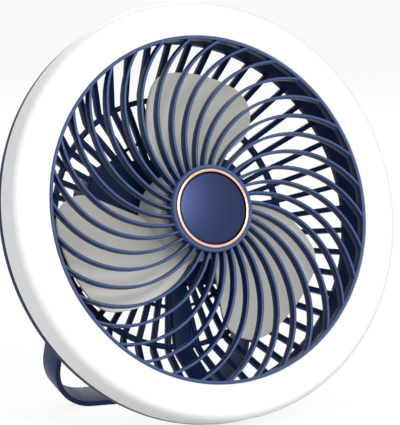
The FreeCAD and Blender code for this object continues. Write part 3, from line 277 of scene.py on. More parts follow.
class Socket:
    """A value in a node tree that takes part in plain arithmetic."""

    def __init__(self, nodes: Nodes, link: bpy.types.NodeSocket) -> None:
        """Wrap one output socket of the tree."""
        self.nodes = nodes
        self.link = link

    def _math(self, operation: str, first: Value, second: Value) -> Socket:
        """Add one Math node and return its result."""
        return self.nodes.node("ShaderNodeMath", {"operation": operation}, {0: first, 1: second})

    def __add__(self, other: Value) -> Socket:
        """Add."""
        return self._math("ADD", self, other)

    def __radd__(self, other: Value) -> Socket:
        """Add, reflected."""
        return self._math("ADD", other, self)

    def __sub__(self, other: Value) -> Socket:
        """Subtract."""
        return self._math("SUBTRACT", self, other)

    def __rsub__(self, other: Value) -> Socket:
        """Subtract, reflected."""
        return self._math("SUBTRACT", other, self)

    def __mul__(self, other: Value) -> Socket:
        """Multiply."""
        return self._math("MULTIPLY", self, other)

    def __rmul__(self, other: Value) -> Socket:
        """Multiply, reflected."""
        return self._math("MULTIPLY", other, self)

    def __pow__(self, other: Value) -> Socket:
        """Raise to a power."""
        return self._math("POWER", self, other)

    def __rpow__(self, other: Value) -> Socket:
        """Raise to a power, reflected."""
        return self._math("POWER", other, self)

    def sine(self) -> Socket:
        """Return the sine of an angle in radians."""
        return self._math("SINE", self, 0.0)

    def above(self, limit: Value) -> Socket:
        """Return 1 above the limit and 0 below it."""
        return self._math("GREATER_THAN", self, limit)

    def larger(self, other: Value) -> Socket:
        """Return the larger of two values."""
        return self._math("MAXIMUM", self, other)

    def ramp(self, low: float, high: float) -> Socket:
        """Return 0 at low and 1 at high, eased between them and held outside."""
        limits = {"Value": self, "From Min": low, "From Max": high}
        return self.nodes.node("ShaderNodeMapRange", {"interpolation_type": "SMOOTHSTEP"}, limits)


Value = float | Socket
Anything = float | tuple | Socket
Sockets = dict[int | str, Anything]


class Nodes:
    """A node tree and the one way to fill it."""

    def __init__(self, tree: bpy.types.NodeTree) -> None:
        """Take over a tree and empty it."""
        self.tree = tree
        self.tree.nodes.clear()

    def add(
        self, kind: str, settings: dict[str, object] | None = None, values: Sockets | None = None
    ) -> bpy.types.Node:
        """Add one node.

        Args:
            kind: the node's type.
            settings: its own options, set first.
            values: a number, colour or link for each socket that isn't left at its default.

        Returns:
            The node.
        """
        made = self.tree.nodes.new(kind)
        for name, value in (settings or {}).items():
            setattr(made, name, value)
        for name, value in (values or {}).items():
            self._set(made.inputs[name], value)
        return made

    def node(
        self,
        kind: str,
        settings: dict[str, object] | None = None,
        values: Sockets | None = None,
        output: int | str = 0,
    ) -> Socket:
        """Add one node as add does, and return the chosen one of its outputs."""
        return Socket(self, self.add(kind, settings, values).outputs[output])

    def _set(self, target: bpy.types.NodeSocket, value: Anything) -> None:
        """Link a socket, or set it to a constant.

        Args:
            target: the socket that takes the value.
            value: a link, a number, a vector, or a colour without its alpha.
        """
        if isinstance(value, Socket):
            self.tree.links.new(value.link, target)
        elif isinstance(value, tuple) and target.type == "RGBA":
            target.default_value = (*value, 1.0)
        else:
            target.default_value = value

    def seen(self) -> Socket:
        """Tell looking from lighting.

        Returns:
            1 for a ray from the camera, off gloss or through something clear, and 0 for any other.
        """
        camera, gloss, clear = [
            self.node("ShaderNodeLightPath", output=f"Is {ray} Ray")
            for ray in ("Camera", "Glossy", "Transmission")
        ]
        return camera.larger(gloss).larger(clear)


class Shader(Nodes):
    """One material and the nodes in it."""

    def __init__(self, name: str) -> None:
        """Make the material, with nothing in it yet.

        Args:
            name: the material's name.
        """
        self.material = bpy.data.materials.new(name)
        self.material.use_nodes = True
        super().__init__(self.material.node_tree)

    def end(self, surface: Socket) -> bpy.types.Material:
        """Send a surface to the material's output, and return the material."""
        self.add("ShaderNodeOutputMaterial", None, {"Surface": surface})
        return self.material

    def place(self) -> Socket:
        """Return the point on the object at rest, in metres of the frame."""
        return self.node("ShaderNodeTexCoord", output="Object")

    def along(self, axis: Vector) -> Socket:
        """Measure along an axis from the fan's origin.

        Args:
            axis: the axis's direction, one long.

        Returns:
            The distance, in millimetres.
        """
        points = {0: self.place(), 1: tuple(axis)}
        reach = self.node("ShaderNodeVectorMath", {"operation": "DOT_PRODUCT"}, points, "Value")
        return (reach - SPACE.origin.dot(axis)) * (1 / MM)

    def radius(self) -> Socket:
        """Return the distance from the fan's axis, in millimetres."""
        across, up = self.along(SPACE.across), self.along(SPACE.up)
        return (across * across + up * up) ** 0.5

    def rings(self, pitch: float) -> Socket:
        """Return a wave from 0 to 1 in rings about the fan's axis, at a pitch in millimetres."""
        return (self.radius() * (TURN / pitch)).sine() * 0.5 + 0.5

    def noise(self, size: float, detail: float = 2.0, stretch: Colour = (1.0, 1.0, 1.0)) -> Socket:
        """Lay soft noise.

        Args:
            size: the size of its patches, in millimetres.
            detail: how much finer noise is laid on it.
            stretch: how much closer together the patches are along each axis of the frame.

        Returns:
            The noise, from 0 to 1.
        """
        points = {0: self.place(), 1: stretch}
        spread = self.node("ShaderNodeVectorMath", {"operation": "MULTIPLY"}, points)
        patches = {"Vector": spread, "Scale": 1 / (size * MM), "Detail": detail}
        return self.node("ShaderNodeTexNoise", None, patches)

    def mix(self, share: Value, first: Anything, second: Anything) -> Socket:
        """Mix two colours."""
        return self.node("ShaderNodeMix", {"data_type": "RGBA"}, {0: share, 6: first, 7: second}, 2)

    def shades(self, share: Value, colour: Colour, dark: float, light: float) -> Socket:
        """Mix two shades of one colour, each a share of it."""
        return self.mix(share, tint(colour, dark), tint(colour, light))

    def bump(self, height: Socket, depth: float, strength: float = 1.0) -> Socket:
        """Return a normal roughened by a height from 0 to 1 that is worth a depth in millimetres."""
        relief = {"Height": height, "Distance": depth * MM, "Strength": strength}
        return self.node("ShaderNodeBump", None, relief)


# Finishes


class Finish(ABC):
    """A surface finish that can make its material."""

    def material(self, name: str) -> bpy.types.Material:
        """Make the material of that name."""
        shader = Shader(name)
        return shader.end(shader.node("ShaderNodeBsdfPrincipled", None, self.sockets(shader)))

    @abstractmethod
    def sockets(self, shader: Shader) -> Sockets:
        """Return what the sockets of the surface take, with their nodes added to the shader."""


@dataclass(frozen=True)
class Moulding(Finish):
    """Moulded plastic: a fine eroded grain, slow sheen changes and faint flow marks."""

    colour: Colour
    roughness: float = 0.42
    specular: float = 0.3
    coat: float = 0.0
    coat_roughness: float = 0.12
    grain: float = 0.5
    relief: float = 0.012
    variation: float = 0.1
    flow: float = 28.0
    flow_share: float = 0.7
    flow_sheen: float = 0.16
    grain_sheen: float = 0.12

    def sockets(self, shader: Shader) -> Sockets:
        """Lay the flow marks and the grain.

        Args:
            shader: takes the nodes.

        Returns:
            What the sockets of the surface take.
        """
        flow = shader.noise(self.flow, detail=3.0)
        grain = shader.noise(self.grain, detail=3.0)
        marks = flow * self.flow_share + grain * (1 - self.flow_share)
        sheen = (flow - 0.5) * self.flow_sheen + (grain - 0.5) * self.grain_sheen
        return {
            "Base Color": shader.shades(marks, self.colour, 1 - self.variation, 1 + self.variation),
            "Roughness": sheen + self.roughness,
            "Specular IOR Level": self.specular,
            "Coat Weight": self.coat,
            "Coat Roughness": self.coat_roughness,
            "Normal": shader.bump(grain, self.relief),
        }


@dataclass(frozen=True)
class PaintedHighlightMoulding(Finish):
    """Moulded plastic with a painted highlight: its front crests are painted paler than its flanks."""

    colour: Colour
    painted_highlight: Colour
    roughness: float = 0.34
    specular: float = 0.14
    crest_front: float = 0.2
    crest_back: float = 0.65
    grain: float = 0.5
    relief: float = 0.01
    variation: float = 0.15
    flow: float = 24.0
    flow_sheen: float = 0.12
    grain_sheen: float = 0.1
    highlight_patches: float = 7.0
    highlight_least: float = 0.7
    highlight_swing: float = 0.5

    def sockets(self, shader: Shader) -> Sockets:
        """Lay the grain, and paint a patchy highlight on the crests.

        Args:
            shader: takes the nodes.

        Returns:
            What the sockets of the surface take.
        """
        flow = shader.noise(self.flow, detail=3.0)
        grain = shader.noise(self.grain, detail=3.0)
        highlight_patches = shader.noise(self.highlight_patches, detail=3.0) * self.highlight_swing + self.highlight_least
        # painted highlight: paler colour on the ribs' front crests, in patches
        painted_highlight_share = (1 - shader.along(SPACE.back).ramp(self.crest_front, self.crest_back)) * highlight_patches
        flank = shader.shades(flow, self.colour, 1 - self.variation, 1 + self.variation)
        sheen = (flow - 0.5) * self.flow_sheen + (grain - 0.5) * self.grain_sheen
        return {
            "Base Color": shader.mix(painted_highlight_share, flank, self.painted_highlight),
            "Roughness": sheen + self.roughness,
            "Specular IOR Level": self.specular,
            "Normal": shader.bump(grain, self.relief),
        }


@dataclass(frozen=True)
class LitDiffuser(Finish):
    """Frosted white plastic, lit from inside through its front, its glow fading down its side, and greyed by
    painted shade on its side and rims.
    """

    colour: Colour = (0.8, 0.8, 0.798)
    glow: float = 0.2
    side_glow: float = 0.01
    front: float = 0.6
    side: float = 5.0
    outer: float = 115.0
    inner: float = 95.2
    outer_fade: float = 7.0
    inner_fade: float = 2.6
    # share of the colour kept where painted shade greys the rims and side
    painted_rim_shade: float = 0.9
    cloud: float = 40.0
    variation: float = 0.015
    frost: float = 0.35
    frost_sheen: float = 0.2
    smoothest: float = 0.38
    specular: float = 0.3
    relief: float = 0.006

    def sockets(self, shader: Shader) -> Sockets:
        """Light the front, and let the glow fade towards the side and both rims, where painted shade greys
        the colour.

        Args:
            shader: takes the nodes.

        Returns:
            What the sockets of the surface take.
        """
        frost = shader.noise(self.frost)
        cloud = shader.noise(self.cloud)
        depth, radius = shader.along(SPACE.back), shader.radius()
        rim = radius.ramp(self.outer - self.outer_fade, self.outer)
        lip = 1 - radius.ramp(self.inner, self.inner + self.inner_fade)
        # glow fades partly as lamp falloff and partly as painted shade; the base colour greys as painted
        # shade on the rounded rims and side wall
        glow_fade_and_painted_shade = 1 - (1 - depth.ramp(self.front, self.side)) * (1 - rim) * (1 - lip)
        plain = shader.shades(cloud, self.colour, 1 - self.variation, 1 + self.variation)
        return {
            "Base Color": shader.mix(glow_fade_and_painted_shade, plain, tint(self.colour, self.painted_rim_shade)),
            "Roughness": frost * self.frost_sheen + self.smoothest,
            "Specular IOR Level": self.specular,
            "Emission Color": shader.mix(glow_fade_and_painted_shade, grey(self.glow), grey(self.side_glow)),
            "Emission Strength": 1.0,
            "Normal": shader.bump(frost, self.relief),
        }


@dataclass(frozen=True)
class TurnedMetal(Finish):
    """Metal with fine rings left by the lathe about the fan's axis."""

    colour: Colour
    roughness: float = 0.25
    pitch: float = 0.12
    relief: float = 0.004
    relief_strength: float = 0.6
    wear: float = 6.0
    wear_sheen: float = 0.1
    dark: float = 0.93
    light: float = 1.06

    def sockets(self, shader: Shader) -> Sockets:
        """Lay the rings under patches of wear.

        Args:
            shader: takes the nodes.

        Returns:
            What the sockets of the surface take.
        """
        rings = shader.rings(self.pitch)
        wear = shader.noise(self.wear, detail=4.0)
        return {
            "Base Color": shader.shades(wear, self.colour, self.dark, self.light),
            "Roughness": wear * self.wear_sheen + (self.roughness - self.wear_sheen / 2),
            "Metallic": 1.0,
            "Normal": shader.bump(rings, self.relief, self.relief_strength),
        }


@dataclass(frozen=True)
class BrushedPaint(Finish):
    """A metallic lacquer over a finely brushed disc."""

    colour: Colour
    smoothest: float = 0.3
    metallic: float = 0.9
    coat: float = 0.22
    coat_roughness: float = 0.3
    stroke: float = 0.5
    stroke_stretch: Colour = (0.03, 1.0, 1.0)
    stroke_sheen: float = 0.14
    flake: float = 0.12
    flake_sheen: float = 0.05
    dark: float = 0.86
    light: float = 1.16
    relief: float = 0.006
    relief_strength: float = 0.5

    def sockets(self, shader: Shader) -> Sockets:
        """Brush level strokes and scatter flakes.

        Args:
            shader: takes the nodes.

        Returns:
            What the sockets of the surface take.
        """
        strokes = shader.noise(self.stroke, detail=3.0, stretch=self.stroke_stretch)
        flakes = shader.noise(self.flake, detail=1.0)
        return {
            "Base Color": shader.shades(strokes, self.colour, self.dark, self.light),
            "Roughness": strokes * self.stroke_sheen + flakes * self.flake_sheen + self.smoothest,
            "Metallic": self.metallic,
            "Coat Weight": self.coat,
            "Coat Roughness": self.coat_roughness,
            "Normal": shader.bump(strokes, self.relief, self.relief_strength),
        }


@dataclass(frozen=True)
class PlainMetal(Finish):
    """Rolled, ground or plated metal with faint stains and a fine directional grain."""

    colour: Colour
    roughness: float = 0.32
    grain: float = 0.2
    grain_stretch: Colour = (1.0, 0.15, 1.0)
    stain: float = 5.0
    stain_sheen: float = 0.18
    dark: float = 0.85
    light: float = 1.1
    relief: float = 0.004

    def sockets(self, shader: Shader) -> Sockets:
        """Lay the stains over the grain.

        Args:
            shader: takes the nodes.

        Returns:
            What the sockets of the surface take.
        """
        stain = shader.noise(self.stain, detail=4.0)
        grain = shader.noise(self.grain, stretch=self.grain_stretch)
        return {
            "Base Color": shader.shades(stain, self.colour, self.dark, self.light),
            "Roughness": stain * self.stain_sheen + (self.roughness - self.stain_sheen / 2),
            "Metallic": 1.0,
            "Normal": shader.bump(grain, self.relief),
        }


@dataclass(frozen=True)
class CircuitBoard(Finish):
    """Solder mask over faint copper tracks."""

    mask: Colour
    track: Colour
    pitch: float = 2.4
    track_level: float = 0.35
    block: float = 9.0
    speck: float = 0.6
    speck_sheen: float = 0.2
    smoothest: float = 0.3
    relief: float = 0.03
    relief_strength: float = 0.5

    def sockets(self, shader: Shader) -> Sockets:
        """Run the tracks up and down the board in blocks.

        Args:
            shader: takes the nodes.

        Returns:
            What the sockets of the surface take.
        """
        across = (shader.along(SPACE.across) * (TURN / self.pitch)).sine()
        block = shader.noise(self.block, detail=0.0).above(0.5)
        tracks = across.above(self.track_level) * block
        return {
            "Base Color": shader.mix(tracks, self.mask, self.track),
            "Roughness": shader.noise(self.speck) * self.speck_sheen + self.smoothest,
            "Normal": shader.bump(tracks, self.relief, self.relief_strength),
        }


@dataclass(frozen=True)
class WoundWire(Finish):
    """Enamelled wire laid in close turns."""

    colour: Colour
    wire: float = 0.45
    painted_groove_shade: float = 0.55
    roughness: float = 0.42
    polish: float = 0.15
    metallic: float = 0.85
    relief: float = 0.15

    def sockets(self, shader: Shader) -> Sockets:
        """Lay the turns, with painted shade darkening their grooves, which are also rougher.

        Args:
            shader: takes the nodes.

        Returns:
            What the sockets of the surface take.
        """
        turns = shader.rings(self.wire)
        return {
            # painted shade: darker colour in the grooves between turns
            "Base Color": shader.shades(turns, self.colour, self.painted_groove_shade, 1.0),
            "Roughness": self.roughness - turns * self.polish,
            "Metallic": self.metallic,
            "Normal": shader.bump(turns, self.relief),
        }


NAVY = (0.006, 0.017, 0.07)
# the colour of the painted highlight on the grille ribs' front crests
NAVY_PAINTED_HIGHLIGHT = (0.06, 0.095, 0.21)
NAVY_BAIL = (0.01, 0.024, 0.078)
FINISHES: dict[str, Finish] = {
    "navy": Moulding(NAVY, roughness=0.44, specular=0.09),
    "navy_painted_highlight": PaintedHighlightMoulding(NAVY, NAVY_PAINTED_HIGHLIGHT),
    "navy_duct": Moulding((0.005, 0.018, 0.085), roughness=0.6, specular=0.04),
    "bail_navy": Moulding(NAVY_BAIL, roughness=0.42, specular=0.12, grain=0.7, relief=0.02),
    "button": Moulding(tint(NAVY, 1.3), roughness=0.28, specular=0.4, coat=0.2),
    "button_mark": Moulding((0.75, 0.78, 0.85), roughness=0.45),
    "blade_grey": Moulding((0.57, 0.57, 0.54), roughness=0.38, specular=0.35, variation=0.03),
    "diffuser_white": LitDiffuser(),
    "guide": Moulding((0.8, 0.84, 0.9), roughness=0.2, variation=0.03),
    "washer": Moulding((0.72, 0.72, 0.7), roughness=0.5, variation=0.04),
    "black_plastic": Moulding((0.02, 0.02, 0.022), roughness=0.5),
    "chip": Moulding((0.9, 0.78, 0.3), roughness=0.25, variation=0.05),
    "cell": Moulding((0.06, 0.3, 0.24), roughness=0.3, variation=0.06),
    "magnet": Moulding((0.06, 0.06, 0.065), roughness=0.6, grain=0.8, relief=0.04),
    "gold": TurnedMetal((0.78, 0.5, 0.4), roughness=0.22),
    "brass": TurnedMetal((0.7, 0.5, 0.2), roughness=0.3),
    "bearing_steel": TurnedMetal((0.6, 0.6, 0.62), roughness=0.18),
    "hub_blue": BrushedPaint((0.014, 0.025, 0.082)),
    "screw_steel": PlainMetal((0.12, 0.13, 0.17)),
    "socket_steel": PlainMetal((0.6, 0.6, 0.62)),
    "core_steel": PlainMetal((0.42, 0.43, 0.45), roughness=0.4, grain=0.5),
    "board": CircuitBoard((0.012, 0.11, 0.05), (0.03, 0.22, 0.09)),
    "light_board": CircuitBoard((0.8, 0.8, 0.78), (0.68, 0.66, 0.55)),
    "copper": WoundWire((0.75, 0.28, 0.1)),
}


@dataclass
class Wardrobe:
    """Makes each finish's material once and hands it out."""

    made: dict[str, bpy.types.Material] = field(default_factory=dict)
    weld: float = 0.002
    edge_segments: int = 2
    edge_angle: float = 50.0
    crease: float = 38.0
    flat_weight: int = 100

    def dress(self, piece: bpy.types.Object, finish: str) -> None:
        """Give a piece one finish all over.

        Args:
            piece: the piece.
            finish: the finish's name in FINISHES.
        """
        if finish not in self.made:
            self.made[finish] = FINISHES[finish].material(finish)
        piece.data.materials.clear()
        piece.data.materials.append(self.made[finish])

    def cad(self, node: str, finish: str, edge: float = 0.0) -> None:
        """Dress a CAD node as it is.

        Args:
            node: the node's name.
            finish: the finish's name in FINISHES.
            edge: the radius that softens its edges, in millimetres, or 0 to leave them.
        """
        piece = frame["nodes"][node]
        self.dress(piece, finish)
        if edge:
            weld = piece.modifiers.new("weld", "WELD")
            weld.merge_threshold = self.weld * MM
            soft = piece.modifiers.new("soft_edges", "BEVEL")
            soft.width = edge * MM
            soft.segments = self.edge_segments
            soft.limit_method = "ANGLE"
            soft.angle_limit = math.radians(self.edge_angle)
            soft.harden_normals = False
        piece.data.shade_smooth()
        piece.data.set_sharp_from_angle(angle=math.radians(self.crease))
        flat = piece.modifiers.new("flat_faces", "WEIGHTED_NORMAL")
        flat.keep_sharp = True
        flat.weight = self.flat_weight
        LOG.info("dressed %s in %s", node, finish)

    def new(self, piece: bpy.types.Object, finish: str, slot: str, *nodes: str) -> None:
        """Dress a new piece, and let it stand for CAD nodes.

        Args:
            piece: the piece.
            finish: the finish's name in FINISHES.
            slot: not used.
            nodes: the CAD nodes that it replaces, if any.
        """
        self.dress(piece, finish)
        if nodes:
            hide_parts(*nodes)
        LOG.info("built %s for %s", piece.name, ", ".join(nodes) or "detail")


# Sub-assemblies


@dataclass
class RingLight:
    """The lit ring: its diffuser, its shell, its lamps and the duct inside it."""

    wardrobe: Wardrobe
    radius: float = 115.0
    inner: float = 95.2
    depth: float = 19.5
    wall: float = 2.0
    corner: float = 5.5
    corner_steps: int = 8
    inner_edge: float = 0.5
    skirt_edge: float = 0.4
    duct_wall: float = 1.8
    collar_fit: float = 0.2
    rim_inset: float = 0.4
    rim_front: float = 19.7
    rim_back: float = 24.7
    rim_front_edge: float = 0.3
    rim_inner_edge: float = 0.6
    rim_round: float = 0.8
    rim_steps: int = 5
    steps: int = 256
    crease: float = 50.0

    def build(self) -> None:
        """Build the turned pieces, and dress the duct, the light board and its lamps."""
        self.wardrobe.cad("led_board", "light_board")
        self.wardrobe.cad("led_chips", "chip")
        self.diffuser()
        self.shell()
        self.wardrobe.cad("duct_ring", "navy_duct")

    def diffuser(self) -> None:
        """Build the frosted cover."""
        maker = Maker()
        side = self.radius - self.wall
        maker.lathe(rounded([
            (self.inner, 0.0, self.inner_edge),
            (self.radius, 0.0, self.corner),
            (self.radius, self.depth, self.skirt_edge),
            (side, self.depth),
            (side, self.wall, self.corner - self.wall),
            (self.inner, self.wall),
        ], self.corner_steps), self.steps)
        piece = maker.piece("ring_diffuser", Body.FAN, self.crease)
        self.wardrobe.new(piece, "diffuser_white", "diffuser_white", "light_diffuser")

    def shell(self) -> None:
        """Build the rear shell, whose rim is the thin dark line behind the diffuser."""
        maker = Maker()
        outer = self.radius - self.rim_inset
        collar = self.inner + self.duct_wall + self.collar_fit
        maker.lathe(rounded([
            (collar, self.rim_back - self.wall),
            (outer - self.wall, self.rim_back - self.wall, self.rim_inner_edge),
            (outer - self.wall, self.rim_front),
            (outer, self.rim_front, self.rim_front_edge),
            (outer, self.rim_back, self.rim_round),
            (collar, self.rim_back),
        ], self.rim_steps), self.steps)
        piece = maker.piece("ring_shell", Body.FAN)
        self.wardrobe.new(piece, "navy", "navy", "rear_shell")


@dataclass
class FrontGrille:
    """The spiral grille: a hub cup, a hoop and curved ribs with rounded front edges."""

    wardrobe: Wardrobe
    ribs: int = 34
    rib_width: float = 1.6
    rib_front: float = 0.2
    rib_back: float = 5.8
    rib_front_edge: float = 0.62
    rib_back_edge: float = 0.35
    sweep: float = 45.0
    bow: float = 55.6
    turn: float = 8.4
    start: float = 22.9
    end: float = 94.1
    hoop_outer: float = 95.0
    hoop_wall: float = 1.6
    hoop_front: float = -0.5
    hoop_back: float = 6.0
    hoop_front_edge: float = 0.6
    hoop_back_edge: float = 0.3
    hub: float = 23.85
    hub_wall: float = 1.95
    hub_front: float = -2.5
    hub_inner_edge: float = 0.7
    hub_outer_edge: float = 0.8
    floor_front: float = 2.0
    floor_back: float = 4.0
    path_steps: int = 26
    hub_steps: int = 144
    hoop_steps: int = 256
    crease: float = 40.0

    def build(self) -> None:
        """Build hub, hoop and ribs as one piece."""
        maker = Maker()
        inner = self.hub - self.hub_wall
        maker.lathe(rounded([
            (0.0, self.floor_front),
            (inner, self.floor_front),
            (inner, self.hub_front, self.hub_inner_edge),
            (self.hub, self.hub_front, self.hub_outer_edge),
            (self.hub, self.rib_back),
            (inner, self.rib_back),
            (inner, self.floor_back),
            (0.0, self.floor_back),
        ]), self.hub_steps, solid=False)
        hoop_inner = self.hoop_outer - self.hoop_wall
        maker.lathe(rounded([
            (hoop_inner, self.hoop_front, self.hoop_front_edge),
            (self.hoop_outer, self.hoop_front, self.hoop_front_edge),
            (self.hoop_outer, self.hoop_back),
            (hoop_inner, self.hoop_back, self.hoop_back_edge),
        ]), self.hoop_steps)
        for index in range(self.ribs):
            maker.sweep(self.rib(math.radians(self.turn) + TURN * index / self.ribs))
        piece = maker.piece("spiral_grille", Body.FAN, self.crease)
        self.wardrobe.new(piece, "navy_painted_highlight", "navy", "front_grille")

    def rib(self, angle: float) -> list[Loop]:
        """Sweep one rib along its arc.

        Args:
            angle: where it leaves the hub, clockwise from up.

        Returns:
            Its section at each step of the arc.
        """
        first = Vector((math.sin(angle), math.cos(angle))) * self.start
        far = angle + math.radians(self.sweep)
        last = Vector((math.sin(far), math.cos(far))) * self.end
        span = last - first
        offset = math.sqrt(self.bow ** 2 - span.length_squared / 4)
        centre = (first + last) / 2 + Vector((span.y, -span.x)).normalized() * offset
        section = bar(
            self.rib_width, self.rib_front, self.rib_back, self.rib_front_edge, self.rib_back_edge
        )
        from_first, from_last = first - centre, last - centre
        total = from_first.angle(from_last)
        stations = []
        for step in range(self.path_steps + 1):
            spoke = Matrix.Rotation(-total * step / self.path_steps, 2) @ from_first
            outward = spoke.normalized()
            on_arc = centre + spoke
            stations.append([
                Vector((on_arc.x + outward.x * side, depth, on_arc.y + outward.y * side))
                for side, depth in section
            ])
        return stations


@dataclass
class Hub:
    """The badge on the front hub: a rose-gold ring round a domed lacquered disc."""

    wardrobe: Wardrobe
    ring_outer: float = 21.75
    ring_inner: float = 19.95
    ring_front: float = -2.9
    ring_inner_edge: float = 0.55
    ring_outer_edge: float = 0.75
    ring_steps: int = 180
    floor: float = 2.0
    disc: float = 19.4
    disc_edge: float = -2.1
    disc_steps: int = 144
    disc_crease: float = 60.0
    rise: float = 1.3
    dome_shares: tuple[float, ...] = (0.0, 0.15, 0.3, 0.45, 0.6, 0.75, 0.88, 0.97)
    lip_width: float = 0.1
    lip_drop: float = 0.02
    side_drop: float = 0.3

    def build(self) -> None:
        """Build the ring and the disc."""
        maker = Maker()
        maker.lathe(rounded([
            (self.ring_inner, self.ring_front, self.ring_inner_edge),
            (self.ring_outer, self.ring_front, self.ring_outer_edge),
            (self.ring_outer, self.floor),
            (self.ring_inner, self.floor),
        ]), self.ring_steps)
        piece = maker.piece("rose_gold_ring", Body.FAN)
        self.wardrobe.new(piece, "gold", "gold", "hub_trim_ring")
        maker = Maker()
        maker.lathe(self.dome() + [
            (self.disc - self.lip_width, self.disc_edge + self.lip_drop),
            (self.disc, self.disc_edge + self.side_drop),
            (self.disc, self.floor),
            (0.0, self.floor),
        ], self.disc_steps, solid=False)
        piece = maker.piece("hub_disc", Body.FAN, self.disc_crease)
        self.wardrobe.new(piece, "hub_blue", "hub_blue", "hub_cap")

    def dome(self) -> Outline:
        """Draw the disc's front, which is part of one sphere.

        Returns:
            Its profile from the middle to near the edge.
        """
        sphere = (self.disc ** 2 + self.rise ** 2) / (2 * self.rise)
        centre = self.disc_edge - self.rise + sphere
        radii = [self.disc * share for share in self.dome_shares]
        return [(radius, centre - math.sqrt(sphere ** 2 - radius ** 2)) for radius in radii]


@dataclass
class RearGrille:
    """The rear dish of rounded spokes, with its rings, flange, collar and cable channel."""

    wardrobe: Wardrobe
    spokes: int = 48
    spoke_width: float = 2.8
    spoke_edge: float = 0.7
    wall: float = 4.0
    dish_back: float = 55.0
    flat: float = 72.0
    bend: float = 10.0
    shoulder: float = 5.0
    shoulder_least: float = 0.6
    bend_steps: int = 6
    mouth: float = 95.6
    mouth_wall: float = 2.8
    mouth_depth: float = 5.0
    mouth_edge: float = 0.8
    foot_front: float = 0.5
    foot_inside: float = 0.7
    foot_outside: float = 2.1
    flange: float = 110.0
    flange_front: float = 24.9
    flange_wall: float = 2.0
    flange_front_edge: float = 0.3
    flange_back_edge: float = 0.6
    flange_steps: int = 192
    opening_x: float = 45.2
    opening_z: float = 32.5
    opening_corner: float = 14.2
    corner_steps: int = 10
    collar_wall: float = 3.0
    collar_front: float = 50.8
    collar_depth: float = 5.0
    collar_front_edge: float = 0.3
    collar_back_edge: float = 0.8
    channel_width: float = 11.0
    channel_depth: float = 4.2
    channel_edge: float = 1.0
    outer_ring: float = 70.4
    outer_ring_width: float = 3.0
    outer_ring_edge: float = 0.6
    outer_ring_steps: int = 144
    inner_ring: float = 47.7
    inner_ring_width: float = 1.8
    inner_ring_edge: float = 0.5
    ring_inset: float = 0.3
    arc_half_steps: int = 12
    angle_step: float = 0.01
    radius_step: float = 0.25
    edge_share: float = 1 / 3
    crease: float = 42.0

    def build(self) -> None:
        """Build the whole dish as one piece."""
        maker = Maker()
        self.rings(maker)
        self.collar(maker)
        for index in range(self.spokes):
            angle = TURN * index / self.spokes
            maker.sweep(self.bar_along(angle, self.spoke_width, self.wall, self.spoke_edge))
        channel = self.bar_along(math.pi, self.channel_width, self.channel_depth, self.channel_edge)
        maker.sweep(channel)
        piece = maker.piece("rear_dish", Body.FAN, self.crease)
        self.wardrobe.new(piece, "navy", "navy", "rear_grille")

    def rings(self, maker: Maker) -> None:
        """Turn the flange, the mouth and the two rings.

        Args:
            maker: gathers them.
        """
        mouth_outer = self.mouth + self.mouth_wall
        flange_back = self.flange_front + self.flange_wall
        mouth_back = self.flange_front + self.mouth_depth
        maker.lathe(rounded([
            (self.mouth, self.flange_front, self.flange_front_edge),
            (self.flange, self.flange_front, self.flange_front_edge),
            (self.flange, flange_back, self.flange_back_edge),
            (mouth_outer, flange_back),
            (mouth_outer, mouth_back, self.mouth_edge),
            (self.mouth, mouth_back, self.mouth_edge),
        ]), self.flange_steps)
        front, back = self.dish_back - self.wall + self.ring_inset, self.dish_back - self.ring_inset
        middle = self.outer_ring - self.outer_ring_width / 2
        section = bar(self.outer_ring_width, front, back, self.outer_ring_edge, self.outer_ring_edge)
        maker.lathe([(middle + side, depth) for side, depth in section], self.outer_ring_steps)
        for angle in (0.0, math.pi):
            maker.sweep(self.ring_arc(angle, front, back))

    def ring_arc(self, middle: float, front: float, back: float) -> list[Loop]:
        """Sweep one of the inner ring's two arcs, which end in the collar's walls.

        Args:
            middle: the direction of its middle, clockwise from up.
            front: the depth of its front.
            back: the depth of its back.

        Returns:
            Its section at each step of the arc.
        """
        centre = self.inner_ring - self.inner_ring_width / 2
        section = bar(self.inner_ring_width, front, back, self.inner_ring_edge, self.inner_ring_edge)
        half = 0.0
        while self.exit_radius(half + self.angle_step) < centre:
            half += self.angle_step
        loops = []
        for step in range(2 * self.arc_half_steps + 1):
            angle = middle + half * (step / self.arc_half_steps - 1)
            loops.append([
                Vector(((centre + side) * math.sin(angle), depth, (centre + side) * math.cos(angle)))
                for side, depth in section
            ])
        return loops

    def collar(self, maker: Maker) -> None:
        """Skin the collar that the case stands in.

        Args:
            maker: gathers it.
        """
        back = self.collar_front + self.collar_depth
        section = bar(
            self.collar_wall, self.collar_front, back, self.collar_front_edge, self.collar_back_edge
        )
        stations = []
        for offset, depth in section:
            grow = offset + self.collar_wall / 2
            half_x, half_z, corner = self.opening(grow)
            outline = bar(2 * half_x, -half_z, half_z, corner, corner, self.corner_steps)
            stations.append(at_depth(outline, depth))
        maker.sweep(stations, closed=True)

    def opening(self, grow: float) -> tuple[float, float, float]:
        """Return the half width, half height and corner of the case's opening, grown all round."""
        return self.opening_x + grow, self.opening_z + grow, self.opening_corner + grow

    def exit_radius(self, angle: float) -> float:
        """Find how far out a spoke leaves the middle of the collar's wall.

        Args:
            angle: the spoke's direction, clockwise from up.

        Returns:
            The radius, to the step above it.
        """
        half_x, half_z, corner = self.opening(self.collar_wall / 2)
        radius = min(half_x, half_z) - 4 * self.radius_step
        while True:
            across, up = abs(radius * math.sin(angle)), abs(radius * math.cos(angle))
            out_x, out_z = max(across - half_x + corner, 0.0), max(up - half_z + corner, 0.0)
            if math.hypot(out_x, out_z) > corner:
                return radius
            radius += self.radius_step

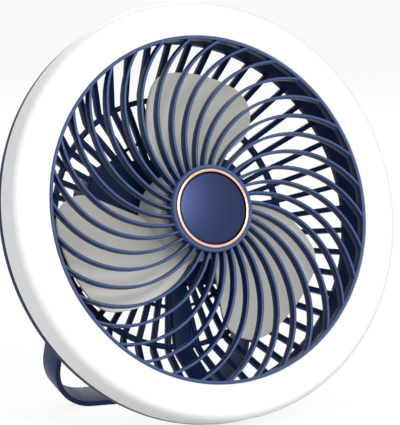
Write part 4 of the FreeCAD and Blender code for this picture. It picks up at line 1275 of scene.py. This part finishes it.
    def bar_along(self, angle: float, width: float, wall: float, edge: float) -> list[Loop]:
        """Sweep a bar that follows the dish from the collar to the mouth.

        Args:
            angle: its direction, clockwise from up.
            width: its width round the dish.
            wall: its thickness.
            edge: the radius of its edges.

        Returns:
            Its section at each step of its way.
        """
        front = self.dish_back - wall
        mouth_back = self.flange_front + self.mouth_depth
        foot = self.flange_front + self.foot_front
        slant = wall * self.flat / (self.flat + self.mouth)
        near = self.exit_radius(angle)
        shoulder = max(self.shoulder - wall, self.shoulder_least)
        inside = rounded([
            (near, front),
            (self.flat - slant, front, self.bend - wall),
            (self.mouth + self.foot_inside, mouth_back - wall, shoulder),
            (self.mouth + self.foot_inside, foot),
        ], self.bend_steps)
        outside = rounded([
            (near, self.dish_back),
            (self.flat, self.dish_back, self.bend),
            (self.mouth + self.foot_outside, mouth_back, self.shoulder),
            (self.mouth + self.foot_outside, foot),
        ], self.bend_steps)
        sideways = Vector((math.cos(angle), 0.0, -math.sin(angle)))
        outward = Vector((math.sin(angle), 0.0, math.cos(angle)))
        stations = []
        for (inside_radius, inside_back), (outside_radius, outside_back) in zip(inside, outside):
            low = outward * inside_radius + Vector((0.0, inside_back, 0.0))
            high = outward * outside_radius + Vector((0.0, outside_back, 0.0))
            thick = (high - low).length
            rise = (high - low).normalized()
            least = min(edge, thick * self.edge_share)
            stations.append([
                low + sideways * side + rise * height
                for side, height in bar(width, 0.0, thick, least, least)
            ])
        return stations


@dataclass
class Impeller:
    """The three grey blades on their hub, and the motor parts that turn with them."""

    wardrobe: Wardrobe
    blade_edge: float = 0.5

    def build(self) -> None:
        """Dress the turning pieces."""
        self.wardrobe.cad("impeller", "blade_grey", self.blade_edge)
        self.wardrobe.cad("rotor_cup", "core_steel")
        self.wardrobe.cad("magnet_ring", "magnet")
        self.wardrobe.cad("motor_shaft", "bearing_steel")
        self.wardrobe.cad("shaft_clip", "black_plastic")


@dataclass
class Motor:
    """The motor's fixed parts, on the case's pedestal."""

    wardrobe: Wardrobe

    def build(self) -> None:
        """Dress the fixed parts."""
        self.wardrobe.cad("bearing_sleeve", "brass")
        self.wardrobe.cad("ball_bearings", "bearing_steel")
        self.wardrobe.cad("stator_core", "core_steel")
        self.wardrobe.cad("stator_coils", "copper")
        self.wardrobe.cad("motor_board", "board")


@dataclass
class Screw:
    """A pan-head screw with a cross recess, built about its own axis."""

    head: float = 2.6
    height: float = 1.6
    shank: float = 1.1
    length: float = 8.8
    crown: tuple[Point2, ...] = ((1.0, 0.5), (0.93, 0.22), (0.78, 0.04))
    slot: float = 0.5
    reach: float = 0.62
    waist: float = 1.2
    rim_drop: float = 0.02
    sink: float = 0.55
    taper: float = 0.75
    steps: int = 48

    def build(self, maker: Maker, places: Outline, back: float) -> None:
        """Add one screw at each place, its head's face at a depth."""
        for place in places:
            self.one(maker, place, back)

    def one(self, maker: Maker, place: Point2, back: float) -> None:
        """Add a head with a cross-shaped hollow, and its shank.

        Args:
            maker: gathers the screw.
            place: where its axis is, across and up.
            back: the depth of its head's face.
        """
        under = back - self.height
        shape = [(self.shank, under - self.length), (self.shank, under), (self.head, under)]
        shape += [(self.head * share, back - self.height * drop) for share, drop in self.crown]
        rings = [at_depth(circle(radius, self.steps), depth, place) for radius, depth in shape]
        rim = self.cross()
        floor = [(x * self.taper, y * self.taper) for x, y in rim]
        rings.append(at_depth(rim, back - self.rim_drop, place))
        rings.append(at_depth(floor, back - self.height * self.sink, place))
        maker.sweep(rings)

    def cross(self) -> Outline:
        """Draw the edge of the cross-shaped hollow.

        Returns:
            As many points as each ring of the head has, in the same directions.
        """
        reach, half = self.head * self.reach, self.slot / 2
        points = []
        for x, y in circle(1.0, self.steps):
            near, far = sorted((abs(x), abs(y)))
            arm = min(reach / far, half / near if near > TINY else reach)
            arm = max(arm, half * self.waist)
            points.append((x * arm, y * arm))
        return points


@dataclass
class Case:
    """The rear case: its tub, cover, screws, buttons, charge lamps and socket."""

    wardrobe: Wardrobe
    tub_edge: float = 0.35
    cover_edge: float = 0.25
    button_x: float = 14.0
    button_z: float = -7.0
    button_radius: float = 6.3
    button_lip: float = 1.3
    lip_front: float = 75.0
    lip_back: float = 76.0
    button_back: float = 79.8
    button_edge: tuple[Point2, ...] = ((0.0, 0.7), (0.2, 0.25), (0.7, 0.0), (1.1, 0.02))
    button_dish: tuple[Point2, ...] = ((0.6, 0.28), (0.3, 0.38), (0.0, 0.42))
    button_steps: int = 72
    petals: int = 3
    petal: tuple[Point2, ...] = (
        (0.35, 0.3), (0.95, 1.1), (0.75, 2.1), (0.0, 2.5), (-0.35, 1.9), (-0.1, 1.1), (-0.2, 0.4)
    )
    sun: float = 1.0
    sun_steps: int = 20
    rays: int = 8
    ray: tuple[Point2, ...] = ((-0.16, 1.5), (0.16, 1.5), (0.16, 2.4), (-0.16, 2.4))
    mark_root: float = 0.6
    mark_face: float = 0.12
    post_x: float = 36.0
    post_z: float = 25.0
    screw_face: float = 78.5

    def build(self) -> None:
        """Dress the case and build its controls."""
        self.wardrobe.cad("battery_case", "navy", self.tub_edge)
        self.wardrobe.cad("case_cover", "navy", self.cover_edge)
        self.wardrobe.cad("battery_cells", "cell")
        self.wardrobe.cad("control_board", "board")
        self.wardrobe.cad("press_switches", "black_plastic")
        self.wardrobe.cad("indicator_leds", "chip")
        self.wardrobe.cad("light_guide", "guide")
        self.wardrobe.cad("usb_socket", "socket_steel")
        self.button("button_fan", Body.FAN_BUTTON, -self.button_x, "fan_button")
        self.button("button_light", Body.LIGHT_BUTTON, self.button_x, "light_button")
        self.fan_mark()
        self.light_mark()
        maker = Maker()
        places = [(x, z) for x in (-self.post_x, self.post_x) for z in (-self.post_z, self.post_z)]
        Screw().build(maker, places, self.screw_face)
        piece = maker.piece("cover_cross_screws", Body.FAN)
        self.wardrobe.new(piece, "screw_steel", "screw_steel", "cover_screws")

    def button(self, name: str, body: Body, across: float, node: str) -> None:
        """Build one round button with a dished face and the lip that holds it in.

        Args:
            name: the piece's name.
            body: the body that it rides on.
            across: where its middle is, across the disc.
            node: the CAD node that it replaces.
        """
        maker = Maker()
        radius, face = self.button_radius, self.button_back
        profile = [
            (0.0, self.lip_front),
            (radius + self.button_lip, self.lip_front),
            (radius + self.button_lip, self.lip_back),
            (radius, self.lip_back),
        ]
        profile += [(radius - inset, face - drop) for inset, drop in self.button_edge]
        profile += [(radius * share, face - drop) for share, drop in self.button_dish]
        maker.lathe(profile, self.button_steps, (across, self.button_z), solid=False)
        self.wardrobe.new(maker.piece(name, body), "button", "button", node)

    def fan_mark(self) -> None:
        """Raise a plain three-petal mark on the left button."""
        maker = Maker()
        for index in range(self.petals):
            self.raise_mark(maker, self.petal, TURN * index / self.petals, -self.button_x)
        self.wardrobe.new(maker.piece("mark_fan", Body.FAN_BUTTON), "button_mark", "button")

    def light_mark(self) -> None:
        """Raise a plain sun mark on the right button."""
        maker = Maker()
        self.raise_mark(maker, circle(self.sun, self.sun_steps), 0.0, self.button_x)
        for index in range(self.rays):
            self.raise_mark(maker, self.ray, TURN * index / self.rays, self.button_x)
        self.wardrobe.new(maker.piece("mark_light", Body.LIGHT_BUTTON), "button_mark", "button")

    def raise_mark(
        self, maker: Maker, outline: Outline | tuple[Point2, ...], spin: float, across: float
    ) -> None:
        """Add one flat raised patch to a button's face.

        Args:
            maker: gathers the mark.
            outline: the patch, about the button's middle.
            spin: how far it is turned.
            across: where the button's middle is, across the disc.
        """
        turned = [Matrix.Rotation(spin, 2) @ Vector(corner) for corner in outline]
        depths = (self.button_back - self.mark_root, self.button_back - self.mark_face)
        maker.sweep([at_depth(turned, back, (across, self.button_z)) for back in depths])


@dataclass
class Fasteners:
    """The screws round the rear flange."""

    wardrobe: Wardrobe
    radius: float = 104.0
    count: int = 8
    head_back: float = 28.6

    def build(self) -> None:
        """Build the ring of screws as one piece."""
        maker = Maker()
        Screw().build(maker, circle(self.radius, self.count), self.head_back)
        piece = maker.piece("ring_cross_screws", Body.FAN)
        self.wardrobe.new(piece, "screw_steel", "screw_steel", "ring_screws")


@dataclass
class Bail:
    """The bent strap that props the fan up, with rounded eyes at its pivots."""

    wardrobe: Wardrobe
    half_width: float = 60.0
    thickness: float = 3.0
    strap: float = 18.7
    corner: float = 24.3
    reach: float = 84.6
    edge: float = 0.8
    edge_share: float = 0.4
    eye_steps: int = 8
    eye_share: float = 0.999
    leg_steps: int = 8
    corner_steps: int = 18
    web_steps: int = 6
    angle: float = 32.8
    pivot_drop: float = 16.8
    pivot_back: float = 66.2
    head: float = 7.5
    head_in: float = 60.2
    head_out: float = 62.6
    head_dome: tuple[Point2, ...] = ((0.0, 1.4), (0.25, 0.8), (0.9, 0.3), (1.9, 0.06), (3.0, 0.0))
    socket_flat: float = 2.3
    socket: tuple[Point2, ...] = ((1.0, 0.0), (0.97, 0.15), (0.97, 1.5))
    shoulder: float = 4.0
    boss_face: float = 56.4
    thread: float = 6.4
    thread_radius: float = 1.48
    screw_steps: int = 48
    crease: float = 40.0
    screw_crease: float = 32.0

    def pivot(self) -> Matrix:
        """Return the matrix from millimetres about the pivots' middle to frame metres."""
        return SPACE.matrix() @ Matrix.Translation((0.0, self.pivot_back, -self.pivot_drop))

    def build(self) -> None:
        """Build the strap and its two screws, and dress the washers."""
        maker = Maker()
        maker.sweep(self.strap_loops())
        swing = Matrix.Rotation(math.radians(self.angle), 4, "X")
        piece = maker.piece("bail_strap", Body.BAIL, self.crease, self.pivot() @ swing)
        self.wardrobe.new(piece, "bail_navy", "bail_navy", "bail")
        maker = Maker()
        for side in (-1, 1):
            maker.sweep(self.screw_loops(side))
        piece = maker.piece("pivot_domed_screws", Body.FAN, self.screw_crease, self.pivot())
        self.wardrobe.new(piece, "screw_steel", "screw_steel_dark", "pivot_screws")
        self.wardrobe.cad("friction_washers", "washer")

    def centre_line(self) -> list[tuple[Vector, Vector, float]]:
        """Lay out the strap from one eye, round two corners, to the other.

        Returns:
            Places on its middle, each with the outward normal and the strap's width there.
        """
        half = self.half_width - self.thickness / 2
        eye = self.strap / 2
        left, down = Vector((-1.0, 0.0)), Vector((0.0, -1.0))
        line = []
        for step in range(self.eye_steps + 1):
            rise = eye * math.cos(math.pi / 2 * step / self.eye_steps) * self.eye_share
            line.append((Vector((-half, rise)), left, 2 * math.sqrt(eye ** 2 - rise ** 2)))
        for step in range(1, self.leg_steps):
            drop = (self.reach - self.corner) * step / self.leg_steps
            line.append((Vector((-half, -drop)), left, self.strap))
        centre = Vector((-half + self.corner, -self.reach + self.corner))
        for step in range(self.corner_steps + 1):
            turn = math.pi / 2 * step / self.corner_steps
            out = Vector((-math.cos(turn), -math.sin(turn)))
            line.append((centre + out * self.corner, out, self.strap))
        for step in range(self.web_steps - 1, -1, -1):
            aside = (self.corner - half) * step / self.web_steps
            line.append((Vector((aside, -self.reach)), down, self.strap))
        mirrored = [
            (Vector((-place.x, place.y)), Vector((-out.x, out.y)), width)
            for place, out, width in reversed(line[:-1])
        ]
        return line + mirrored

    def strap_loops(self) -> list[Loop]:
        """Set the strap's section along its middle.

        Returns:
            The section at each place.
        """
        half = self.thickness / 2
        loops = []
        for place, out, width in self.centre_line():
            edge = min(self.edge, width * self.edge_share)
            loops.append([
                Vector((place.x + out.x * lift, side, place.y + out.y * lift))
                for side, lift in bar(width, -half, half, edge, edge)
            ])
        return loops

    def screw_loops(self, side: int) -> list[Loop]:
        """Turn one domed shoulder screw with a hexagon socket.

        Args:
            side: -1 for the left one and 1 for the right one.

        Returns:
            Its rings from the tip to the floor of the socket.
        """
        shape = [
            (self.thread_radius, self.boss_face - self.thread),
            (self.thread_radius, self.boss_face),
            (self.shoulder, self.boss_face),
            (self.shoulder, self.head_in),
            (self.head, self.head_in),
        ]
        shape += [(self.head - inset, self.head_out - drop) for inset, drop in self.head_dome]
        rings = [(circle(radius, self.screw_steps), out) for radius, out in shape]
        for share, drop in self.socket:
            rings.append((self.hexagon(self.socket_flat * share), self.head_out - drop))
        return [[Vector((side * out, y, z)) for y, z in ring] for ring, out in rings]

    def hexagon(self, flat: float) -> Outline:
        """Draw a hexagon.

        Args:
            flat: how far its flats are from its middle.

        Returns:
            As many points as each ring of the screw has, in the same directions.
        """
        sector = math.pi / 3
        points = []
        for index in range(self.screw_steps):
            angle = TURN * index / self.screw_steps
            reach = flat / math.cos((angle + sector / 2) % sector - sector / 2)
            points.append((reach * math.sin(angle), reach * math.cos(angle)))
        return points


@dataclass(frozen=True)
class Lamp:
    """A round soft lamp, with its place from the fan in metres."""

    name: str
    offset: tuple[float, float, float]
    size: float
    power: float

    def hang(self, target: Vector) -> None:
        """Hang the lamp, facing the target.

        Args:
            target: what it faces and is placed from.
        """
        data = bpy.data.lights.new(self.name, "AREA")
        data.shape = "DISK"
        data.size = self.size
        data.energy = self.power
        lamp = bpy.data.objects.new(self.name, data)
        lamp.location = target + Vector(self.offset)
        lamp.rotation_euler = (-Vector(self.offset)).to_track_quat("-Z", "Y").to_euler()
        bpy.context.scene.collection.objects.link(lamp)


@dataclass
class Studio:
    """A pale floor, soft lamps and the camera at the photograph's angle."""

    azimuth: float = -27.376
    elevation: float = 6.307
    distance: float = 1.885
    lens: float = 296.0
    sensor: float = 36.0
    shift: Point2 = (-0.0276, -0.0092)
    clip: Point2 = (0.05, 50.0)
    camera_aim: float = -0.5
    lamp_aim: float = 20.0
    lamps: tuple[Lamp, ...] = (
        Lamp("key", (0.1, -1.9, 1.0), 0.9, 26.0),
        Lamp("fill", (-1.6, -1.0, 0.9), 1.2, 10.0),
        Lamp("rear", (0.5, 1.6, 1.2), 1.2, 14.0),
    )
    ambient: float = 0.55
    ambient_colour: Colour = (0.95, 0.97, 1.0)
    floor_half: float = 6.0
    floor_level: float = 0.8
    floor_share: float = 0.8
    floor_glow: float = 1.08

    def build(self) -> None:
        """Build all of it."""
        self.floor()
        self.world()
        for lamp in self.lamps:
            lamp.hang(SPACE.point(0.0, self.lamp_aim, 0.0))
        self.camera()
        bpy.context.scene.view_settings.view_transform = "Standard"

    def floor(self) -> None:
        """Lay a wide floor that shows white and keeps a faint shadow."""
        data = bpy.data.meshes.new("studio_floor")
        half = self.floor_half
        corners = [(-half, -half, 0), (half, -half, 0), (half, half, 0), (-half, half, 0)]
        data.from_pydata(corners, [], [(0, 1, 2, 3)])
        floor = bpy.data.objects.new("studio_floor", data)
        bpy.context.scene.collection.objects.link(floor)
        shader = Shader("studio_floor")
        seen = shader.seen() * self.floor_share
        matt = shader.node("ShaderNodeBsdfDiffuse", None, {"Color": grey(self.floor_level)})
        white = {"Color": grey(1.0), "Strength": self.floor_glow}
        glow = shader.node("ShaderNodeEmission", None, white)
        blend = shader.node("ShaderNodeMixShader", None, {0: seen, 1: matt, 2: glow})
        data.materials.append(shader.end(blend))

    def world(self) -> None:
        """Surround the scene with white that is only seen, and with dimmer light that fills."""
        world = bpy.data.worlds.new("studio")
        world.use_nodes = True
        bpy.context.scene.world = world
        sky = Nodes(world.node_tree)
        white = {"Color": grey(1.0), "Strength": 1.0}
        pale = {"Color": self.ambient_colour, "Strength": self.ambient}
        fill, lit = [sky.node("ShaderNodeBackground", None, light) for light in (pale, white)]
        blend = sky.node("ShaderNodeMixShader", None, {0: sky.seen(), 1: fill, 2: lit})
        sky.add("ShaderNodeOutputWorld", None, {"Surface": blend})

    def camera(self) -> None:
        """Set the camera at the photograph's angle and framing."""
        data = bpy.data.cameras.new("camera")
        camera = bpy.data.objects.new("camera", data)
        turn, rise = math.radians(self.azimuth), math.radians(self.elevation)
        away = Vector((
            math.sin(turn) * math.cos(rise),
            -math.cos(turn) * math.cos(rise),
            math.sin(rise),
        ))
        camera.location = SPACE.point(0.0, self.camera_aim, 0.0) + away * self.distance
        camera.rotation_euler = (-away).to_track_quat("-Z", "Y").to_euler()
        data.lens = self.lens
        data.sensor_width = self.sensor
        data.shift_x, data.shift_y = self.shift
        data.clip_start, data.clip_end = self.clip
        bpy.context.scene.collection.objects.link(camera)
        bpy.context.scene.camera = camera


def main() -> None:
    """Build the fan's pieces in order, then the studio."""
    logging.basicConfig(level=logging.INFO, format="%(message)s")
    wardrobe = Wardrobe()
    for assembly in (
        RingLight(wardrobe),
        FrontGrille(wardrobe),
        Hub(wardrobe),
        RearGrille(wardrobe),
        Fasteners(wardrobe),
        Impeller(wardrobe),
        Motor(wardrobe),
        Case(wardrobe),
        Bail(wardrobe),
    ):
        assembly.build()
        LOG.info("finished %s", type(assembly).__name__)
    Studio().build()


if __name__ == "__main__":
    main()
